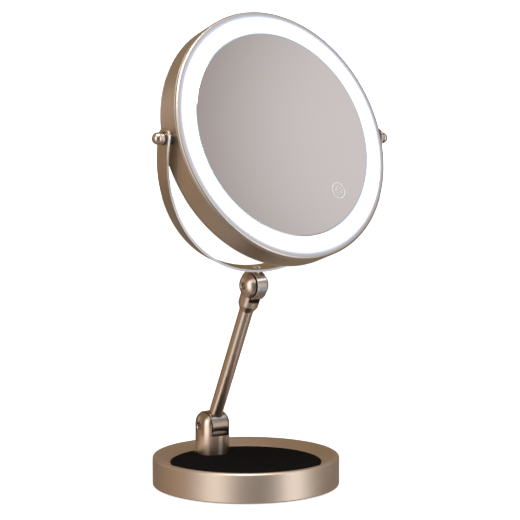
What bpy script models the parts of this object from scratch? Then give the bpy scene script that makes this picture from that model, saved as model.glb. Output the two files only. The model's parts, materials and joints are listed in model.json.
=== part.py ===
"""Lighted vanity mirror: a two-sided round mirror with a lit ring around each side.

The head flips in a U-shaped yoke, the yoke tilts on a leaning arm, and the arm tilts on
a post that stands in a weighted tray base. Units are metres and +Z is up. The lit face
looks towards -Y, every hinge axis runs along X, and the origin is at the centre of the
underside of the base.
"""

import math

import bmesh
import bpy
from mathutils import Vector

# ---------------------------------------------------------------- driving dimensions

GAP = 0.0003            # between neighbours that touch
SLACK = 0.0003          # between a screw and its hole
ROUND = 48              # sides of the base and of the head
INNER = 32              # sides of the rings inside the head
MIDDLE = 28             # sides of the post and of the hinge discs
SMALL = 16              # sides of pins, nuts and screws
REACH = 0.0400          # length of a cutter that runs right through a hinge

# Stance, in radians: each angle is measured from the vertical
ARM_LEAN = math.radians(24.9)
YOKE_LEAN = math.radians(13.5)
HEAD_TILT = math.radians(18.6)

# Base
BASE_RADIUS = 0.0800
BASE_HEIGHT = 0.0259
BASE_WALL = 0.0022
SHELL_BOTTOM = 0.0010
TRAY_RADIUS = 0.0648
TRAY_FLOOR = 0.0184
RIM_INNER = 0.0762
PAD_THICKNESS = 0.0012
FOOT_RADIUS = 0.0745
FOOT_THICKNESS = 0.0015
PLATE_RADIUS = 0.0771
PLATE_THICKNESS = 0.0015
WEIGHT_RADIUS = 0.0620
WEIGHT_TOP = 0.0120
RIM_EDGE = 0.0028       # rounding of the rim's outer edge
SKIRT_EDGE = 0.0012     # rounding of the skirt's lower edge
BOSS_OUTER = 0.0046
BASE_SCREW_CIRCLE = 0.0500
BASE_SCREW_ANGLES = (30.0, 150.0, 270.0)
BASE_SCREW_RADIUS = 0.0019
BASE_SCREW_HEAD = 0.0037
BASE_SCREW_TOP = 0.0156
COUNTERSINK = (0.0046, 0.0021)      # its wide and narrow radius

# Post and lower hinge
POST_RADIUS = 0.0149
POST_Y = 0.0481
POST_TOP_ROUND = 0.0115
PIN_HEIGHT = 0.0448
POST_RISE = 0.0131
POST_SLOT_HALF = 0.0093
POST_SLOT_DROP = 0.0085
BARREL_RADIUS = 0.0125
BARREL_HALF = 0.0084
PIN_RADIUS = 0.0025
LOWER_PIN_HALF = 0.0134
POST_SCREW_RADIUS = 0.0030
POST_SCREW_HEAD = (0.0050, 0.0024)  # radius and height
POST_SCREW_TOP = 0.0272
POST_SCREW_WASHER = (0.0062, 0.0008)
THREAD_DEPTH = 0.0097

# Arm and upper hinge
ARM_LENGTH = 0.1404     # between the two hinge pins
TUBE_RADIUS = 0.0060
TUBE_WALL = 0.0012
TUBE_START = 0.0072
BALL_RADIUS = 0.0124
NECK_RADIUS = 0.0087
NECK_DROP = 0.0185
TAPER_DROP = 0.0243
SPIGOT_LENGTH = 0.0100
FORK_SLOT_HALF = 0.0060
FORK_SLOT_DROP = 0.0132
TONGUE_RADIUS = 0.0127
TONGUE_HALF = 0.0051
TONGUE_NECK = 0.0045
UPPER_PIN_HALF = 0.0113
WASHER_RADIUS = 0.0080
WASHER_THICKNESS = 0.0004

# Yoke
YOKE_RISE = 0.0138      # upper pin to the outer face of the yoke
YOKE_RADIUS = 0.1134    # outer face, about the flip axis
YOKE_THICKNESS = 0.0020
YOKE_HALF_WIDTH = 0.00715
EAR_CENTRE = 0.0010     # centre of the ear's round end, above the flip axis
YOKE_SCREW_RADIUS = 0.0020
YOKE_SCREW_HEAD = 0.0040
YOKE_SCREW_DOME = 0.0018
YOKE_SCREW_START = 0.0046           # above the upper pin
EAR_STOCK = 0.0200                  # strip left above the flip axis before the ear is cut

# Head: depths are measured from its middle plane
HEAD_RADIUS = 0.1064
HEAD_HALF = 0.0124
BAND_HALF = 0.0098
BAND_WALL = 0.0022
BEZEL_ROUND = 0.0020
RING_OUTER = 0.1011
RING_INNER = 0.0873
PANE_FRONT = 0.0122
PANE_BACK = 0.0093
MAGNIFIER_SAG = 0.0038
CHANNEL_INNER = 0.0882
CHANNEL_OUTER = 0.1004
SHELF_DEPTH = 0.0047
LED_BOARD_THICKNESS = 0.0010
LED_COUNT = 16
LED_SIZE = 0.0030
LED_HEIGHT = 0.0008
CORE_RADIUS = 0.1018
WEB_HALF = 0.0012
BOSS_RADIUS = 0.0043
BOSS_LENGTH = 0.0118
PORT_NOTCH = (0.0190, 0.0088, 0.0270)
PORT_NOTCH_Z = 0.0965
LEAD_WINDOW = (0.0100, 0.0240, 0.0050)
LEAD_WINDOW_X = 0.0300

# Pivots, measured out from the middle along the flip axis
STUD_RADIUS = 0.0020
STUD_START = 0.0930
STUD_END = 0.1195
SPACER_RADIUS = 0.0049
EAR_WASHER_RADIUS = 0.0053
EAR_WASHER_THICKNESS = 0.0009
NUT_RADIUS = 0.0050
NUT_BALL = 0.1182       # centre of the nut's dome
NUT_GROOVE = 0.0042
NUT_COLLAR = 0.0047

# Electrics inside the head, as places across (x) and up (z) the face
TOUCH_X = 0.0447
TOUCH_Z = -0.0497
TOUCH_RADIUS = 0.0075
BATTERY_SIZE = (0.0620, 0.0055, 0.0420)
BATTERY_EDGE = 0.0012
BATTERY_Z = 0.0330
CLIP_BAND = 0.0140
CLIP_WALL = 0.0012
BOARD_SIZE = (0.0460, 0.0012, 0.0300)
BOARD_Z = -0.0420
SOCKET_SIZE = (0.0090, 0.0032, 0.0074)
SOCKET_WALL = 0.0004
LEAD_RADIUS = 0.0007

# Axis names to the rotation that turns +Z onto them
TURN_TO = {
    "Z": (0.0, 0.0, 0.0),
    "X": (0.0, math.pi / 2, 0.0),
    "-X": (0.0, -math.pi / 2, 0.0),
    "Y": (-math.pi / 2, 0.0, 0.0),
    "-Y": (math.pi / 2, 0.0, 0.0),
}


# ---------------------------------------------------------------- scene and materials

def clear_scene():
    for item in list(bpy.data.objects):
        bpy.data.objects.remove(item, do_unlink=True)


def new_collection(name):
    collection = bpy.data.collections.new(name)
    bpy.context.scene.collection.children.link(collection)
    return collection


def new_finish(name, colour, roughness, metallic):
    finish = bpy.data.materials.new(name)
    finish.use_nodes = True
    shader = finish.node_tree.nodes["Principled BSDF"]
    shader.inputs["Base Color"].default_value = (*colour, 1.0)
    shader.inputs["Roughness"].default_value = roughness
    shader.inputs["Metallic"].default_value = metallic
    return finish


def make_finishes():
    table = (
        ("satin_nickel", (0.58, 0.50, 0.43), 0.32, 1.0),
        ("polished_nickel", (0.72, 0.67, 0.62), 0.10, 1.0),
        ("plated_steel", (0.60, 0.60, 0.58), 0.30, 1.0),
        ("black_foam", (0.020, 0.020, 0.021), 0.85, 0.0),
        ("cast_iron", (0.12, 0.11, 0.11), 0.60, 1.0),
        ("nylon", (0.045, 0.043, 0.041), 0.45, 0.0),
        ("white_plastic", (0.82, 0.82, 0.80), 0.45, 0.0),
        ("opal_acrylic", (0.93, 0.94, 0.95), 0.35, 0.0),
        ("silvered_glass", (0.80, 0.79, 0.78), 0.02, 1.0),
        ("green_board", (0.03, 0.16, 0.07), 0.45, 0.0),
        ("white_board", (0.86, 0.86, 0.83), 0.40, 0.0),
        ("battery_wrap", (0.30, 0.33, 0.38), 0.35, 0.0),
        ("lead_jacket", (0.35, 0.03, 0.03), 0.45, 0.0),
    )
    return {name: new_finish(name, *values) for name, *values in table}


# ---------------------------------------------------------------- shape helpers

class Builder:
    """Makes named parts and hidden cutters under one parent empty."""

    def __init__(self, parts, tools, finishes, parent=None):
        self.parts = parts
        self.tools = tools
        self.finishes = finishes
        self.parent = parent

    def on(self, parent):
        return Builder(self.parts, self.tools, self.finishes, parent)

    def add(self, name, data, finish, place=(0, 0, 0), turn="Z"):
        """Link an object; one with no finish is a cutter and stays hidden."""
        item = bpy.data.objects.new(name, data)
        item.location = place
        item.rotation_euler = TURN_TO[turn]
        item.parent = self.parent
        if finish is None:
            self.tools.objects.link(item)
            item.hide_render = True
            item.display_type = "WIRE"
            return item
        self.parts.objects.link(item)
        data.materials.append(self.finishes[finish])
        return item

    def turned(self, name, profile, steps, finish, place=(0, 0, 0), turn="Z"):
        """Turn (radius, height) points, listed down the outer side from the top.

        A profile that starts off the axis is the closed section of a ring.
        """
        mesh = bpy.data.meshes.new(name)
        points = [(radius, 0.0, height) for radius, height in profile]
        edges = [(i, i + 1) for i in range(len(points) - 1)]
        if profile[0][0] > 0:
            edges.append((len(points) - 1, 0))
        mesh.from_pydata(points, edges, [])
        item = self.add(name, mesh, finish, place, turn)
        screw = item.modifiers.new("turn", "SCREW")
        screw.axis = "Z"
        screw.angle = 2 * math.pi
        screw.steps = steps
        screw.render_steps = steps
        screw.use_merge_vertices = True
        screw.merge_threshold = 0.00001
        screw.use_smooth_shade = True
        return item

    def rod(self, name, radius, length, sides, finish, place=(0, 0, 0), turn="Z",
            end_radius=None):
        """A cylinder, or a cone with its own end_radius at the top."""
        mesh = bpy.data.meshes.new(name)
        shape = bmesh.new()
        top = radius if end_radius is None else end_radius
        bmesh.ops.create_cone(shape, cap_ends=True, segments=sides, radius1=radius,
                              radius2=top, depth=length)
        spin_about_z(shape.verts, math.pi / sides)
        shape.to_mesh(mesh)
        shape.free()
        mesh.shade_smooth()
        mesh.set_sharp_from_angle(angle=math.radians(40))
        return self.add(name, mesh, finish, place, turn)

    def box(self, name, size, finish, place=(0, 0, 0), turn="Z"):
        mesh = bpy.data.meshes.new(name)
        shape = bmesh.new()
        bmesh.ops.create_cube(shape, size=1.0)
        bmesh.ops.scale(shape, vec=Vector(size), verts=shape.verts)
        shape.to_mesh(mesh)
        shape.free()
        return self.add(name, mesh, finish, place, turn)

    def boxes(self, name, size, places, angles, finish):
        """Several boxes in one mesh, each at a place and turned about Z by an angle."""
        mesh = bpy.data.meshes.new(name)
        shape = bmesh.new()
        for place, angle in zip(places, angles):
            made = bmesh.ops.create_cube(shape, size=1.0)["verts"]
            bmesh.ops.scale(shape, vec=Vector(size), verts=made)
            spin_about_z(made, angle)
            bmesh.ops.translate(shape, vec=Vector(place), verts=made)
        shape.to_mesh(mesh)
        shape.free()
        return self.add(name, mesh, finish)

    def slab(self, name, outline, half, finish, place=(0, 0, 0), rotation=(0, 0, 0)):
        """A flat outline in its local XY plane, given a thickness along local Z."""
        curve = bpy.data.curves.new(name, "CURVE")
        curve.dimensions = "2D"
        curve.fill_mode = "BOTH"
        curve.extrude = half
        spline = curve.splines.new("POLY")
        spline.points.add(len(outline) - 1)
        for point, (across, up) in zip(spline.points, outline):
            point.co = (across, up, 0.0, 1.0)
        spline.use_cyclic_u = True
        return self.to_mesh(name, curve, finish, place, rotation)

    def wire(self, name, points, radius, finish):
        """A round wire along a poly line."""
        curve = bpy.data.curves.new(name, "CURVE")
        curve.dimensions = "3D"
        curve.bevel_depth = radius
        curve.bevel_resolution = 2
        curve.use_fill_caps = True
        spline = curve.splines.new("POLY")
        spline.points.add(len(points) - 1)
        for point, place in zip(spline.points, points):
            point.co = (*place, 1.0)
        return self.to_mesh(name, curve, finish)

    def to_mesh(self, name, curve, finish, place=(0, 0, 0), rotation=(0, 0, 0)):
        """Turn a curve into a welded mesh object, and drop the curve."""
        guide = bpy.data.objects.new(name + "_guide", curve)
        self.tools.objects.link(guide)
        bpy.context.view_layer.update()
        drawn = guide.evaluated_get(bpy.context.evaluated_depsgraph_get())
        mesh = bpy.data.meshes.new_from_object(drawn)
        bpy.data.objects.remove(guide, do_unlink=True)
        shape = bmesh.new()
        shape.from_mesh(mesh)
        bmesh.ops.remove_doubles(shape, verts=shape.verts, dist=0.000005)
        bmesh.ops.recalc_face_normals(shape, faces=shape.faces)
        shape.to_mesh(mesh)
        shape.free()
        mesh.materials.clear()
        item = self.add(name, mesh, finish, place)
        item.rotation_euler = rotation
        return item


def spin_about_z(verts, angle):
    cos_a, sin_a = math.cos(angle), math.sin(angle)
    for vert in verts:
        x, y, z = vert.co
        vert.co = (x * cos_a - y * sin_a, x * sin_a + y * cos_a, z)


def boolean(target, tool, operation):
    modifier = target.modifiers.new(operation.lower() + "_" + tool.name, "BOOLEAN")
    modifier.operation = operation
    modifier.solver = "EXACT"
    modifier.object = tool


def cut(target, *tools):
    for tool in tools:
        boolean(target, tool, "DIFFERENCE")


def join(target, *tools):
    for tool in tools:
        boolean(target, tool, "UNION")


def arc(centre, radius, start, end, steps):
    """Points (across, up) on an arc, with angles in degrees."""
    points = []
    for i in range(steps + 1):
        angle = math.radians(start + (end - start) * i / steps)
        points.append((centre[0] + radius * math.cos(angle),
                       centre[1] + radius * math.sin(angle)))
    return points


def on_circle(radius, degrees):
    angle = math.radians(degrees)
    return radius * math.cos(angle), radius * math.sin(angle)


def smooth_path(knots, steps):
    """Points on a Catmull-Rom curve through the knots."""
    ends = [Vector(knots[0])] + [Vector(k) for k in knots] + [Vector(knots[-1])]
    path = []
    for a, b, c, d in zip(ends, ends[1:], ends[2:], ends[3:]):
        for i in range(steps):
            t = i / steps
            bend = (2 * a - 5 * b + 4 * c - d) * t * t
            twist = (3 * b - a - 3 * c + d) * t * t * t
            path.append(0.5 * (2 * b + (c - a) * t + bend + twist))
    path.append(Vector(knots[-1]))
    return path


def empty_at(name, collection, place, lean, parent=None):
    """An empty on a hinge axis; a positive lean tips its +Z towards -Y."""
    empty = bpy.data.objects.new(name, None)
    empty.location = place
    empty.rotation_euler = (lean, 0.0, 0.0)
    empty.parent = parent
    collection.objects.link(empty)
    return empty


# ---------------------------------------------------------------- base

def make_base(b):
    make_base_shell(b)
    b.rod("base_foot_pad", FOOT_RADIUS, FOOT_THICKNESS, ROUND, "black_foam",
          (0, 0, FOOT_THICKNESS / 2))
    make_bottom_plate(b)
    make_base_weight(b)
    make_tray_pad(b)
    for number, degrees in enumerate(BASE_SCREW_ANGLES, start=1):
        make_base_screw(b, f"base_screw_{number}", on_circle(BASE_SCREW_CIRCLE, degrees))


def make_base_shell(b):
    """A cast tray, open underneath, with three bosses and a hole for the post screw."""
    inside = BASE_RADIUS - BASE_WALL
    ceiling = TRAY_FLOOR - BASE_WALL + 0.0002
    profile = [(0, TRAY_FLOOR), (TRAY_RADIUS, TRAY_FLOOR)]
    profile += [(TRAY_RADIUS, TRAY_FLOOR + 0.0014), (RIM_INNER - 0.0012, BASE_HEIGHT - 0.0006)]
    profile += [(RIM_INNER, BASE_HEIGHT)]
    profile += arc((BASE_RADIUS - RIM_EDGE, BASE_HEIGHT - RIM_EDGE), RIM_EDGE, 90, 0, 4)
    profile += arc((BASE_RADIUS - SKIRT_EDGE, SHELL_BOTTOM + SKIRT_EDGE), SKIRT_EDGE, 0, -90, 2)
    profile += [(inside, SHELL_BOTTOM), (inside, BASE_HEIGHT - 0.0056)]
    profile += [(RIM_INNER + 0.0010, BASE_HEIGHT - BASE_WALL)]
    profile += [(TRAY_RADIUS + 0.0022, ceiling), (0, ceiling)]
    shell = b.turned("base_shell", profile, ROUND, "satin_nickel")
    boss_height = ceiling + 0.0005 - (WEIGHT_TOP + GAP)
    drill_length = 0.0060
    drill_middle = BASE_SCREW_TOP + 2 * GAP - drill_length / 2
    for number, degrees in enumerate(BASE_SCREW_ANGLES, start=1):
        x, y = on_circle(BASE_SCREW_CIRCLE, degrees)
        middle = WEIGHT_TOP + GAP + boss_height / 2
        join(shell, b.rod(f"boss_{number}", BOSS_OUTER, boss_height, SMALL, None,
                          (x, y, middle)))
    for number, degrees in enumerate(BASE_SCREW_ANGLES, start=1):
        x, y = on_circle(BASE_SCREW_CIRCLE, degrees)
        drill = b.rod(f"boss_drill_{number}", BASE_SCREW_RADIUS + SLACK, drill_length, SMALL,
                      None, (x, y, drill_middle))
        cut(shell, drill)
    cut(shell, b.rod("post_screw_drill", POST_SCREW_RADIUS + SLACK, 0.0100, SMALL, None,
                     (0, POST_Y, TRAY_FLOOR)))


def make_bottom_plate(b):
    bottom = FOOT_THICKNESS + GAP
    wide, narrow = COUNTERSINK
    plate = b.rod("base_bottom_plate", PLATE_RADIUS, PLATE_THICKNESS, ROUND, "plated_steel",
                  (0, 0, bottom + PLATE_THICKNESS / 2))
    for number, degrees in enumerate(BASE_SCREW_ANGLES, start=1):
        x, y = on_circle(BASE_SCREW_CIRCLE, degrees)
        middle = bottom + PLATE_THICKNESS / 2
        sink = b.rod(f"countersink_{number}", wide, PLATE_THICKNESS + 0.0010, SMALL, None,
                     (x, y, middle), end_radius=narrow)
        cut(plate, sink)


def make_base_weight(b):
    bottom = FOOT_THICKNESS + PLATE_THICKNESS + 2 * GAP
    height = WEIGHT_TOP - bottom
    weight = b.rod("base_weight", WEIGHT_RADIUS, height, ROUND, "cast_iron",
                   (0, 0, bottom + height / 2))
    for number, degrees in enumerate(BASE_SCREW_ANGLES, start=1):
        x, y = on_circle(BASE_SCREW_CIRCLE, degrees)
        hole = b.rod(f"weight_drill_{number}", BASE_SCREW_RADIUS + 2 * SLACK, REACH, SMALL,
                     None, (x, y, bottom))
        cut(weight, hole)


def make_base_screw(b, name, place):
    """A countersunk screw, head down."""
    low = FOOT_THICKNESS + GAP + 0.0001
    tip = BASE_SCREW_RADIUS - 0.0004
    profile = [(0, BASE_SCREW_TOP), (tip, BASE_SCREW_TOP)]
    profile += [(BASE_SCREW_RADIUS, BASE_SCREW_TOP - 0.0006)]
    profile += [(BASE_SCREW_RADIUS, low + 0.0019), (BASE_SCREW_HEAD, low), (0, low)]
    b.turned(name, profile, SMALL, "plated_steel", (place[0], place[1], 0))


def make_tray_pad(b):
    """The soft black tray liner, with a keyhole notch that clears the post."""
    height = TRAY_FLOOR + GAP + PAD_THICKNESS / 2
    pad = b.rod("base_pad", TRAY_RADIUS - GAP, PAD_THICKNESS, ROUND, "black_foam",
                (0, 0, height))
    hole = b.rod("post_notch", POST_RADIUS + 0.0005, 0.0060, MIDDLE, None,
                 (0, POST_Y, height))
    slot = b.box("rear_notch", (0.0200, 0.0300, 0.0060), None, (0, POST_Y + 0.0150, height))
    cut(pad, hole, slot)


# ---------------------------------------------------------------- post and lower hinge

def make_post(b):
    """A round post whose slotted top holds the arm's barrel."""
    foot = TRAY_FLOOR + GAP
    top = PIN_HEIGHT + POST_RISE
    shoulder = POST_RADIUS - POST_TOP_ROUND
    profile = [(0, top)]
    profile += arc((shoulder, top - POST_TOP_ROUND), POST_TOP_ROUND, 90, 0, 9)
    profile += [(POST_RADIUS, foot), (0, foot)]
    post = b.turned("post", profile, MIDDLE, "satin_nickel", (0, POST_Y, 0))
    pin = (0, POST_Y, PIN_HEIGHT)
    slot_floor = PIN_HEIGHT - POST_SLOT_DROP
    slot = b.box("post_slot", (2 * POST_SLOT_HALF, REACH, REACH), None,
                 (0, POST_Y, slot_floor + REACH / 2))
    # a hair narrower than the slot, so that their sides don't coincide
    scoop_width = 2 * POST_SLOT_HALF - 0.00002
    scoop = b.rod("post_scoop", BARREL_RADIUS + 2 * GAP, scoop_width, MIDDLE, None, pin, "X")
    hole = b.rod("post_pin_drill", PIN_RADIUS + SLACK, REACH, SMALL, None, pin, "X")
    thread = b.rod("post_thread", POST_SCREW_RADIUS + SLACK, 2 * THREAD_DEPTH, SMALL, None,
                   (0, POST_Y, foot))
    cut(post, slot, scoop, hole, thread)


def make_lower_hinge(b):
    """Fixed hardware of the lower hinge, on the post."""
    pin = (0, POST_Y, PIN_HEIGHT)
    bolt = b.rod("lower_hinge_bolt", PIN_RADIUS, 2 * LOWER_PIN_HALF, SMALL, "plated_steel",
                 pin, "X")
    cut(bolt, b.box("lower_bolt_slot", (0.0010, 0.0080, 0.0008), None,
                    (-LOWER_PIN_HALF, POST_Y, PIN_HEIGHT)))
    place_washers(b, "lower_friction_washer", BARREL_HALF, POST_SLOT_HALF, pin)
    make_post_screw(b)


def make_post_screw(b):
    """The screw and washer that hold the post, from under the tray."""
    under = TRAY_FLOOR - BASE_WALL + 0.0002 - GAP
    outer, thickness = POST_SCREW_WASHER
    bore = POST_SCREW_RADIUS + SLACK
    washer = [(outer, under), (outer, under - thickness), (bore, under - thickness)]
    washer += [(bore, under)]
    b.turned("post_screw_washer", washer, SMALL, "plated_steel", (0, POST_Y, 0))
    head_radius, head_height = POST_SCREW_HEAD
    head_top = under - thickness - GAP
    head_bottom = head_top - head_height
    screw = [(0, POST_SCREW_TOP), (POST_SCREW_RADIUS - 0.0006, POST_SCREW_TOP)]
    screw += [(POST_SCREW_RADIUS, POST_SCREW_TOP - 0.0008), (POST_SCREW_RADIUS, head_top)]
    screw += [(head_radius, head_top), (head_radius, head_bottom), (0, head_bottom)]
    b.turned("post_screw", screw, SMALL, "plated_steel", (0, POST_Y, 0))


def place_washers(b, name, inner_half, slot_half, centre):
    """Two thin friction washers, one each side of a hinge disc."""
    space = slot_half - inner_half
    half = WASHER_THICKNESS / 2
    profile = [(WASHER_RADIUS, half), (WASHER_RADIUS, -half)]
    profile += [(PIN_RADIUS + SLACK, -half), (PIN_RADIUS + SLACK, half)]
    for side, sign in (("left", -1), ("right", 1)):
        place = (sign * (inner_half + space / 2), centre[1], centre[2])
        b.turned(f"{name}_{side}", profile, SMALL, "nylon", place, "X")


# ---------------------------------------------------------------- arm

def make_arm(b):
    """Parts in the arm's own frame: the lower pin at the origin, +Z up the tube."""
    barrel = b.rod("arm_barrel", BARREL_RADIUS, 2 * BARREL_HALF, MIDDLE, "satin_nickel",
                   (0, 0, 0), "X")
    socket = b.rod("barrel_socket", TUBE_RADIUS + GAP, REACH, MIDDLE, None,
                   (0, 0, TUBE_START - GAP + REACH / 2))
    hole = b.rod("barrel_pin_drill", PIN_RADIUS + SLACK, REACH, SMALL, None, (0, 0, 0), "X")
    cut(barrel, socket, hole)
    top = ARM_LENGTH - TAPER_DROP - GAP
    tube = [(TUBE_RADIUS, top), (TUBE_RADIUS, TUBE_START)]
    tube += [(TUBE_RADIUS - TUBE_WALL, TUBE_START), (TUBE_RADIUS - TUBE_WALL, top)]
    b.turned("arm_tube", tube, MIDDLE, "satin_nickel")
    make_arm_fork(b)


def make_arm_fork(b):
    """The ball-shaped fork at the arm's top, on a spigot that fills the tube's end."""
    centre = (0, 0, ARM_LENGTH)
    meet = math.degrees(math.asin(NECK_RADIUS / BALL_RADIUS))
    spigot = TUBE_RADIUS - TUBE_WALL - GAP
    profile = arc((0, 0), BALL_RADIUS, 90, meet - 90, 9)
    profile[0] = (0, BALL_RADIUS)
    profile += [(NECK_RADIUS, -NECK_DROP), (TUBE_RADIUS, -TAPER_DROP)]
    profile += [(spigot, -TAPER_DROP), (spigot, -TAPER_DROP - SPIGOT_LENGTH)]
    profile += [(0, -TAPER_DROP - SPIGOT_LENGTH)]
    fork = b.turned("arm_fork", profile, MIDDLE, "satin_nickel", centre)
    slot = b.box("fork_slot", (2 * FORK_SLOT_HALF, REACH, REACH), None,
                 (0, 0, ARM_LENGTH - FORK_SLOT_DROP + REACH / 2))
    hole = b.rod("fork_pin_drill", PIN_RADIUS + SLACK, REACH, SMALL, None, centre, "X")
    cut(fork, slot, hole)
    bolt = b.rod("upper_hinge_bolt", PIN_RADIUS, 2 * UPPER_PIN_HALF, SMALL, "plated_steel",
                 centre, "X")
    cut(bolt, b.box("upper_bolt_slot", (0.0010, 0.0080, 0.0008), None,
                    (-UPPER_PIN_HALF, 0, ARM_LENGTH)))
    place_washers(b, "upper_friction_washer", TONGUE_HALF, FORK_SLOT_HALF, centre)


# ---------------------------------------------------------------- yoke

def make_yoke_parts(b):
    """Parts in the yoke's own frame: the upper pin at the origin, +Z towards the head."""
    tongue = b.rod("yoke_tongue", TONGUE_RADIUS, 2 * TONGUE_HALF, MIDDLE, "satin_nickel",
                   (0, 0, 0), "X")
    neck = b.rod("tongue_neck", TONGUE_NECK, YOKE_RISE - GAP, SMALL, None,
                 (0, 0, (YOKE_RISE - GAP) / 2))
    join(tongue, neck)
    bore = b.rod("tongue_bore", YOKE_SCREW_RADIUS + SLACK, REACH, SMALL, None,
                 (0, 0, YOKE_SCREW_START + REACH / 2))
    hole = b.rod("tongue_pin_drill", PIN_RADIUS + SLACK, REACH, SMALL, None, (0, 0, 0), "X")
    cut(tongue, bore, hole)
    seat = YOKE_RISE + YOKE_THICKNESS + GAP
    dome = arc((0, 0), 1.0, 90, 0, 3)
    screw = [(across * YOKE_SCREW_HEAD, seat + up * YOKE_SCREW_DOME) for across, up in dome]
    screw[0] = (0, seat + YOKE_SCREW_DOME)
    screw += [(YOKE_SCREW_RADIUS, seat), (YOKE_SCREW_RADIUS, YOKE_SCREW_START + GAP)]
    screw += [(0, YOKE_SCREW_START + GAP)]
    b.turned("yoke_screw", screw, SMALL, "polished_nickel")
    make_yoke(b)


def make_yoke(b):
    """A flat strip bent into a U, with round ears that carry the head's pivots."""
    axis = (0, 0, YOKE_RISE + YOKE_RADIUS)
    inner = YOKE_RADIUS - YOKE_THICKNESS
    outline = [(-YOKE_RADIUS, EAR_STOCK)] + arc((0, 0), YOKE_RADIUS, 180, 360, 60)
    outline += [(YOKE_RADIUS, EAR_STOCK), (inner, EAR_STOCK)]
    outline += arc((0, 0), inner, 360, 180, 60) + [(-inner, EAR_STOCK)]
    yoke = b.slab("yoke", outline, YOKE_HALF_WIDTH + 0.0010, "satin_nickel", axis,
                  (math.pi / 2, 0, 0))
    reach = YOKE_RADIUS + 0.0100
    silhouette = [(-YOKE_HALF_WIDTH, -reach), (YOKE_HALF_WIDTH, -reach)]
    silhouette += arc((0, EAR_CENTRE), YOKE_HALF_WIDTH, 0, 180, 17)
    keep = b.slab("yoke_silhouette", silhouette, reach, None, axis,
                  (math.pi / 2, 0, math.pi / 2))
    boolean(yoke, keep, "INTERSECT")
    drills = [b.rod("yoke_screw_drill", YOKE_SCREW_RADIUS + SLACK, 0.0100, SMALL, None,
                    (0, 0, YOKE_RISE))]
    for side, sign in (("left", -1), ("right", 1)):
        place = (sign * YOKE_RADIUS, 0, axis[2])
        drills.append(b.rod(f"ear_drill_{side}", STUD_RADIUS + SLACK, 0.0200, SMALL, None,
                            place, "X"))
    cut(yoke, *drills)
    place_ear_washers(b, axis)


def place_ear_washers(b, axis):
    """Spring washers between each ear and its cap nut."""
    inner = YOKE_RADIUS + GAP
    half = EAR_WASHER_THICKNESS / 2
    profile = [(EAR_WASHER_RADIUS, half), (EAR_WASHER_RADIUS, -half)]
    profile += [(STUD_RADIUS + SLACK, -half), (STUD_RADIUS + SLACK, half)]
    for side, sign in (("left", -1), ("right", 1)):
        place = (sign * (inner + half), axis[1], axis[2])
        b.turned(f"pivot_washer_{side}", profile, SMALL, "polished_nickel", place, "X")


# ---------------------------------------------------------------- head

def make_head(b):
    """Parts in the head's own frame: the flip axis along X, +Z up the face, -Y to the front."""
    make_housing_ring(b)
    make_core_frame(b)
    for side, turn in (("front", "-Y"), ("rear", "Y")):
        make_bezel(b, side, turn)
        make_diffuser(b, side, turn)
        make_led_board(b, side, turn)
    make_mirrors(b)
    for side, turn in (("left", "-X"), ("right", "X")):
        make_pivot(b, side, turn)
    make_electrics(b)


def make_housing_ring(b):
    inner = HEAD_RADIUS - BAND_WALL
    profile = [(HEAD_RADIUS, BAND_HALF), (HEAD_RADIUS, -BAND_HALF)]
    profile += [(inner, -BAND_HALF), (inner, BAND_HALF)]
    ring = b.turned("housing_ring", profile, ROUND, "satin_nickel", (0, 0, 0), "-Y")
    studs = b.rod("ring_stud_drill", STUD_RADIUS + SLACK, 0.2600, SMALL, None, (0, 0, 0), "X")
    width, depth, _ = SOCKET_SIZE
    port = b.box("ring_port", (width + 0.0006, depth + 0.0006, 0.0120), None,
                 (0, 0, HEAD_RADIUS))
    cut(ring, studs, port)


def make_bezel(b, side, turn):
    """The flat front ring, with a rounded outer edge and a skirt inside the band."""
    back = BAND_HALF + GAP
    shoulder = HEAD_RADIUS - BEZEL_ROUND
    profile = arc((shoulder, HEAD_HALF - BEZEL_ROUND), BEZEL_ROUND, 90, 0, 3)
    profile += [(HEAD_RADIUS, back), (HEAD_RADIUS - BAND_WALL - GAP, back)]
    profile += [(HEAD_RADIUS - BAND_WALL - GAP, 0.0075), (CORE_RADIUS + GAP, 0.0075)]
    profile += [(CORE_RADIUS + GAP, 0.0099), (RING_OUTER, 0.0099), (RING_OUTER, HEAD_HALF)]
    b.turned(f"{side}_bezel", profile, ROUND, "satin_nickel", (0, 0, 0), turn)


def make_diffuser(b, side, turn):
    outer = RING_OUTER - 0.0003
    inner = RING_INNER + 0.0002
    profile = [(outer, PANE_FRONT), (outer, PANE_BACK)]
    profile += [(inner, PANE_BACK), (inner, PANE_FRONT)]
    b.turned(f"{side}_diffuser", profile, ROUND, "opal_acrylic", (0, 0, 0), turn)


def make_mirrors(b):
    """A flat mirror in front and a concave, magnifying one behind."""
    edge = RING_INNER - 0.0003
    b.turned("front_mirror", [(0, PANE_FRONT), (edge, PANE_FRONT), (edge, PANE_BACK),
                              (0, PANE_BACK)], ROUND, "silvered_glass", (0, 0, 0), "-Y")
    thickness = 0.0020
    rings = 3
    face = []
    back = []
    for i in range(rings + 1):
        radius = edge * i / rings
        sunk = MAGNIFIER_SAG * (1 - (radius / edge) ** 2)
        face.append((radius, PANE_FRONT - sunk))
        back.append((radius, PANE_FRONT - thickness - sunk))
    b.turned("rear_mirror", face + back[::-1], ROUND, "silvered_glass", (0, 0, 0), "Y")


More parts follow.
